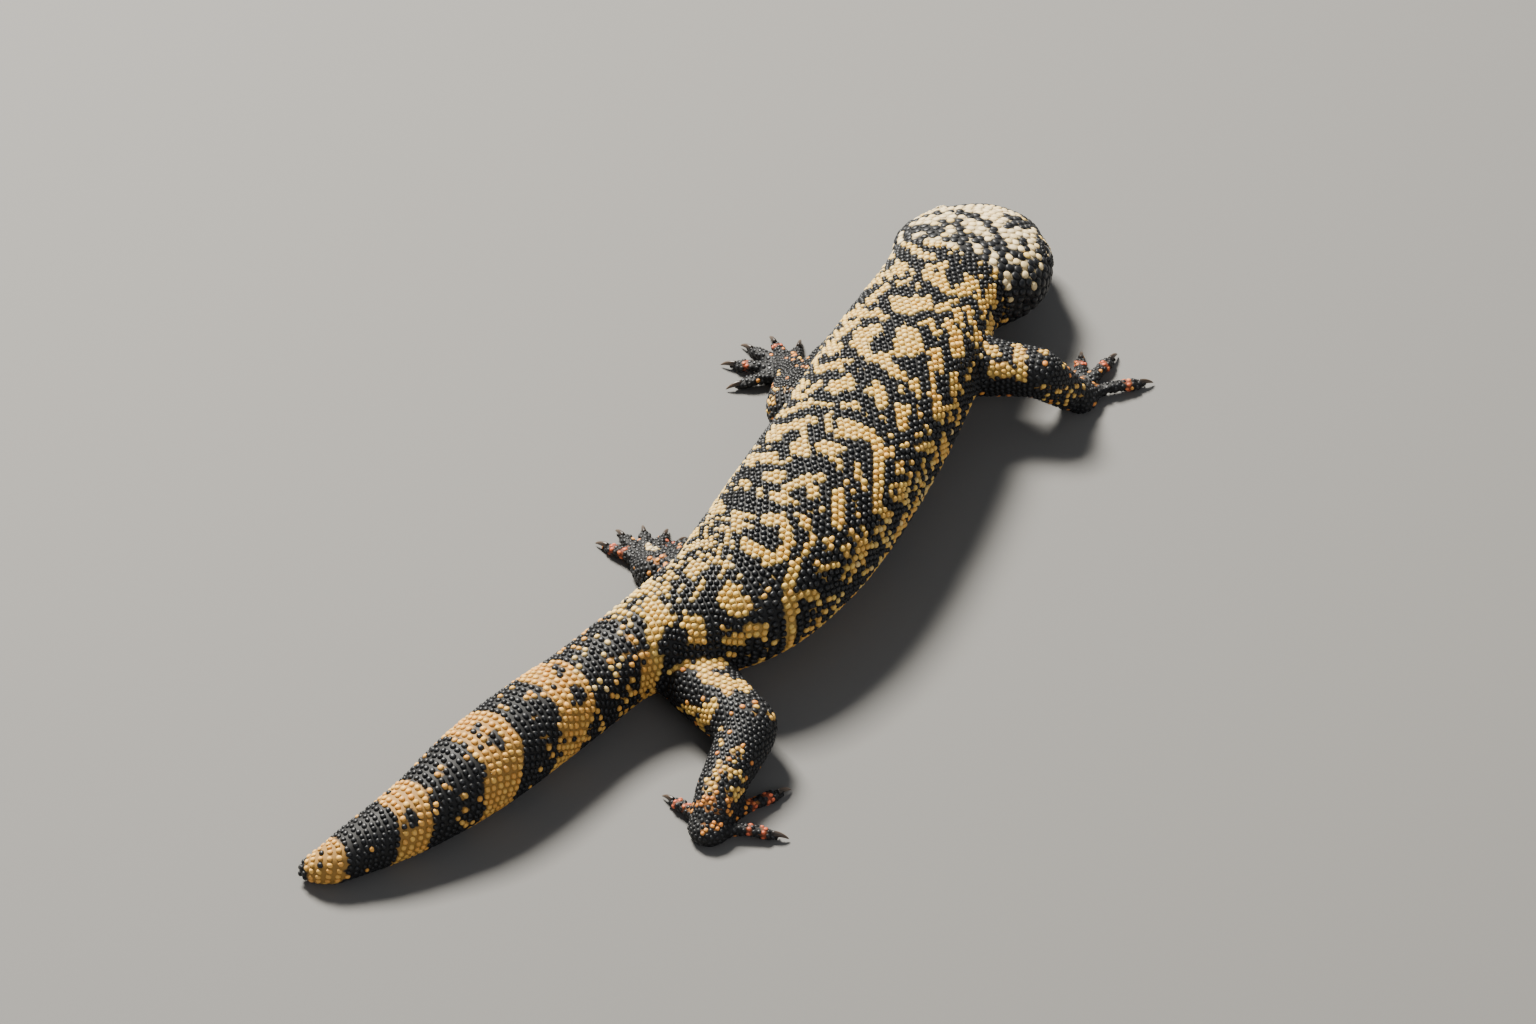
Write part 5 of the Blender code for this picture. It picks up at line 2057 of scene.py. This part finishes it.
@dataclass
class Claws:
    """The five curved claws of one foot."""

    leg_name: str
    finish: bpy.types.Material
    length: float = 5.0 * MM
    radius: float = 1.45 * MM
    tip_radius: float = 0.1 * MM
    taper: float = 0.6
    rooted: float = -0.3
    sweep: float = 1.25
    narrow: float = 0.72
    above: float = 1.1
    below: float = 0.85
    least_height: float = 0.05 * MM
    sides: int = 12
    rings: int = 12

    def section(self, start: Array, end: Array, share: float) -> list[Array]:
        """The points round a claw at a share of its length from the root."""
        ahead = unit(end - start)
        side = np.array([ahead[1], -ahead[0], 0.0])
        arch = 0.35 + 0.35 * math.sin(share * math.pi * 0.75) - 1.9 * share**2.2
        centre = end + ahead * self.length * (self.rooted + self.sweep * share) + UP * arch * MM
        thick = self.radius * (1.0 - share) ** self.taper + self.tip_radius
        found = []
        for corner in range(self.sides):
            turn = 2.0 * math.pi * corner / self.sides
            tall = self.above if math.sin(turn) > 0 else self.below
            place = centre + (side * math.cos(turn) * self.narrow + UP * math.sin(turn) * tall) * thick
            place[2] = max(place[2], self.least_height)
            found.append(place)
        return found

    def build(self) -> bpy.types.Object:
        """Makes the claws as one piece."""
        leg = LEG_PLAN[self.leg_name]
        places, faces, along = [], [], []
        for toe in leg.toes:
            base = len(places)
            for share in np.arange(self.rings + 1) / self.rings:
                places += self.section(*leg.toe_line(toe), float(share))
                along += [share] * self.sides
            faces += ring_faces(base, self.rings, self.sides)
            last = base + self.rings * self.sides
            faces.append(tuple(range(base, base + self.sides)))
            faces.append(tuple(reversed(range(last, last + self.sides))))
        data = small_mesh("claws_" + self.leg_name, np.array(places), faces)
        store(data, "along", np.array(along))
        made = link("claws_" + self.leg_name, data, self.finish)
        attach(made, "root")
        return made


@dataclass
class Studio:
    """A plain pale floor and soft light from the upper left."""

    floor_side: float = 9.0
    sky_colour: tuple[float, float, float, float] = (0.9, 0.95, 1.0, 1.0)
    sky_strength: float = 0.22

    def build(self) -> None:
        """Makes the floor, the lights and the sky."""
        half = self.floor_side / 2.0
        corners = np.array([[-half, -half, 0.0], [half, -half, 0.0], [half, half, 0.0], [-half, half, 0.0]])
        data = mesh_from("floor", corners, np.array([[0, 1, 2, 3]]))
        floor = link("floor", data, FloorFinish().material())
        self.lamp("key", place=(-1.5, 0.55, 1.9), side=0.7, watts=250.0, colour=(1.0, 0.96, 0.88))
        self.lamp("fill", place=(1.9, -0.9, 1.5), side=1.6, watts=14.0, colour=(0.95, 0.95, 1.0))
        world = bpy.data.worlds.new("studio")
        world.use_nodes = True
        sky = world.node_tree.nodes["Background"]
        sky.inputs["Color"].default_value = self.sky_colour
        sky.inputs["Strength"].default_value = self.sky_strength
        bpy.context.scene.world = world

    def lamp(self, name: str, place: Point, side: float, watts: float, colour: Point) -> None:
        """Adds a square soft lamp that shines on the animal."""
        data = bpy.data.lights.new(name, "AREA")
        data.size = side
        data.energy = watts
        data.color = colour
        lamp = bpy.data.objects.new(name, data)
        lamp.location = place
        lamp.rotation_euler = (Vector(place) - Vector(VIEW.target)).to_track_quat("Z", "Y").to_euler()
        bpy.context.scene.collection.objects.link(lamp)


# What the hide between the scales takes for random numbers, and how high up a scale it counts as; so low a
# height paints it with the darker colour of the grooves, partly its own dark skin and partly painted shade.
SKIN_DRAWS = (0.6, 0.5, 0.5, 0.5)
SKIN_LIFT = 0.08


def dress_skin(skin: Skin, made: bpy.types.Object, markings: Markings) -> None:
    """Paints the hide as the scales on it are painted."""
    draws = np.tile(SKIN_DRAWS, (len(skin.places), 1))
    colours = markings.paint(skin.places, skin.normals, skin.zones, draws)
    colours.store_on(skin.data, np.arange(len(skin.places)))
    store(skin.data, "lift", np.full(len(skin.places), SKIN_LIFT))
    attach(made, "root")
    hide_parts(*skin.flesh.nodes)


def main() -> None:
    """Builds the animal, dresses it and lights it."""
    logging.basicConfig(level=logging.INFO, format="%(message)s")
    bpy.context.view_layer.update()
    VIEW.build()
    Studio().build()
    hide = HideFinish().material()
    markings = Markings()
    skin = Skin(Flesh(), hide)
    made = skin.build()
    dress_skin(skin, made, markings)
    LOG.info("hide: %d points", len(skin.places))
    for piece in Coat(Layout(skin), markings, hide).build():
        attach(piece, "root")
    eye = EyeFinish().material()
    for side in SIDES:
        LOG.info("%s", Eye(side, eye).build().name)
    horn = ClawFinish().material()
    for leg_name in LEGS:
        LOG.info("%s", Claws(leg_name, horn).build().name)


if __name__ == "__main__":
    main()
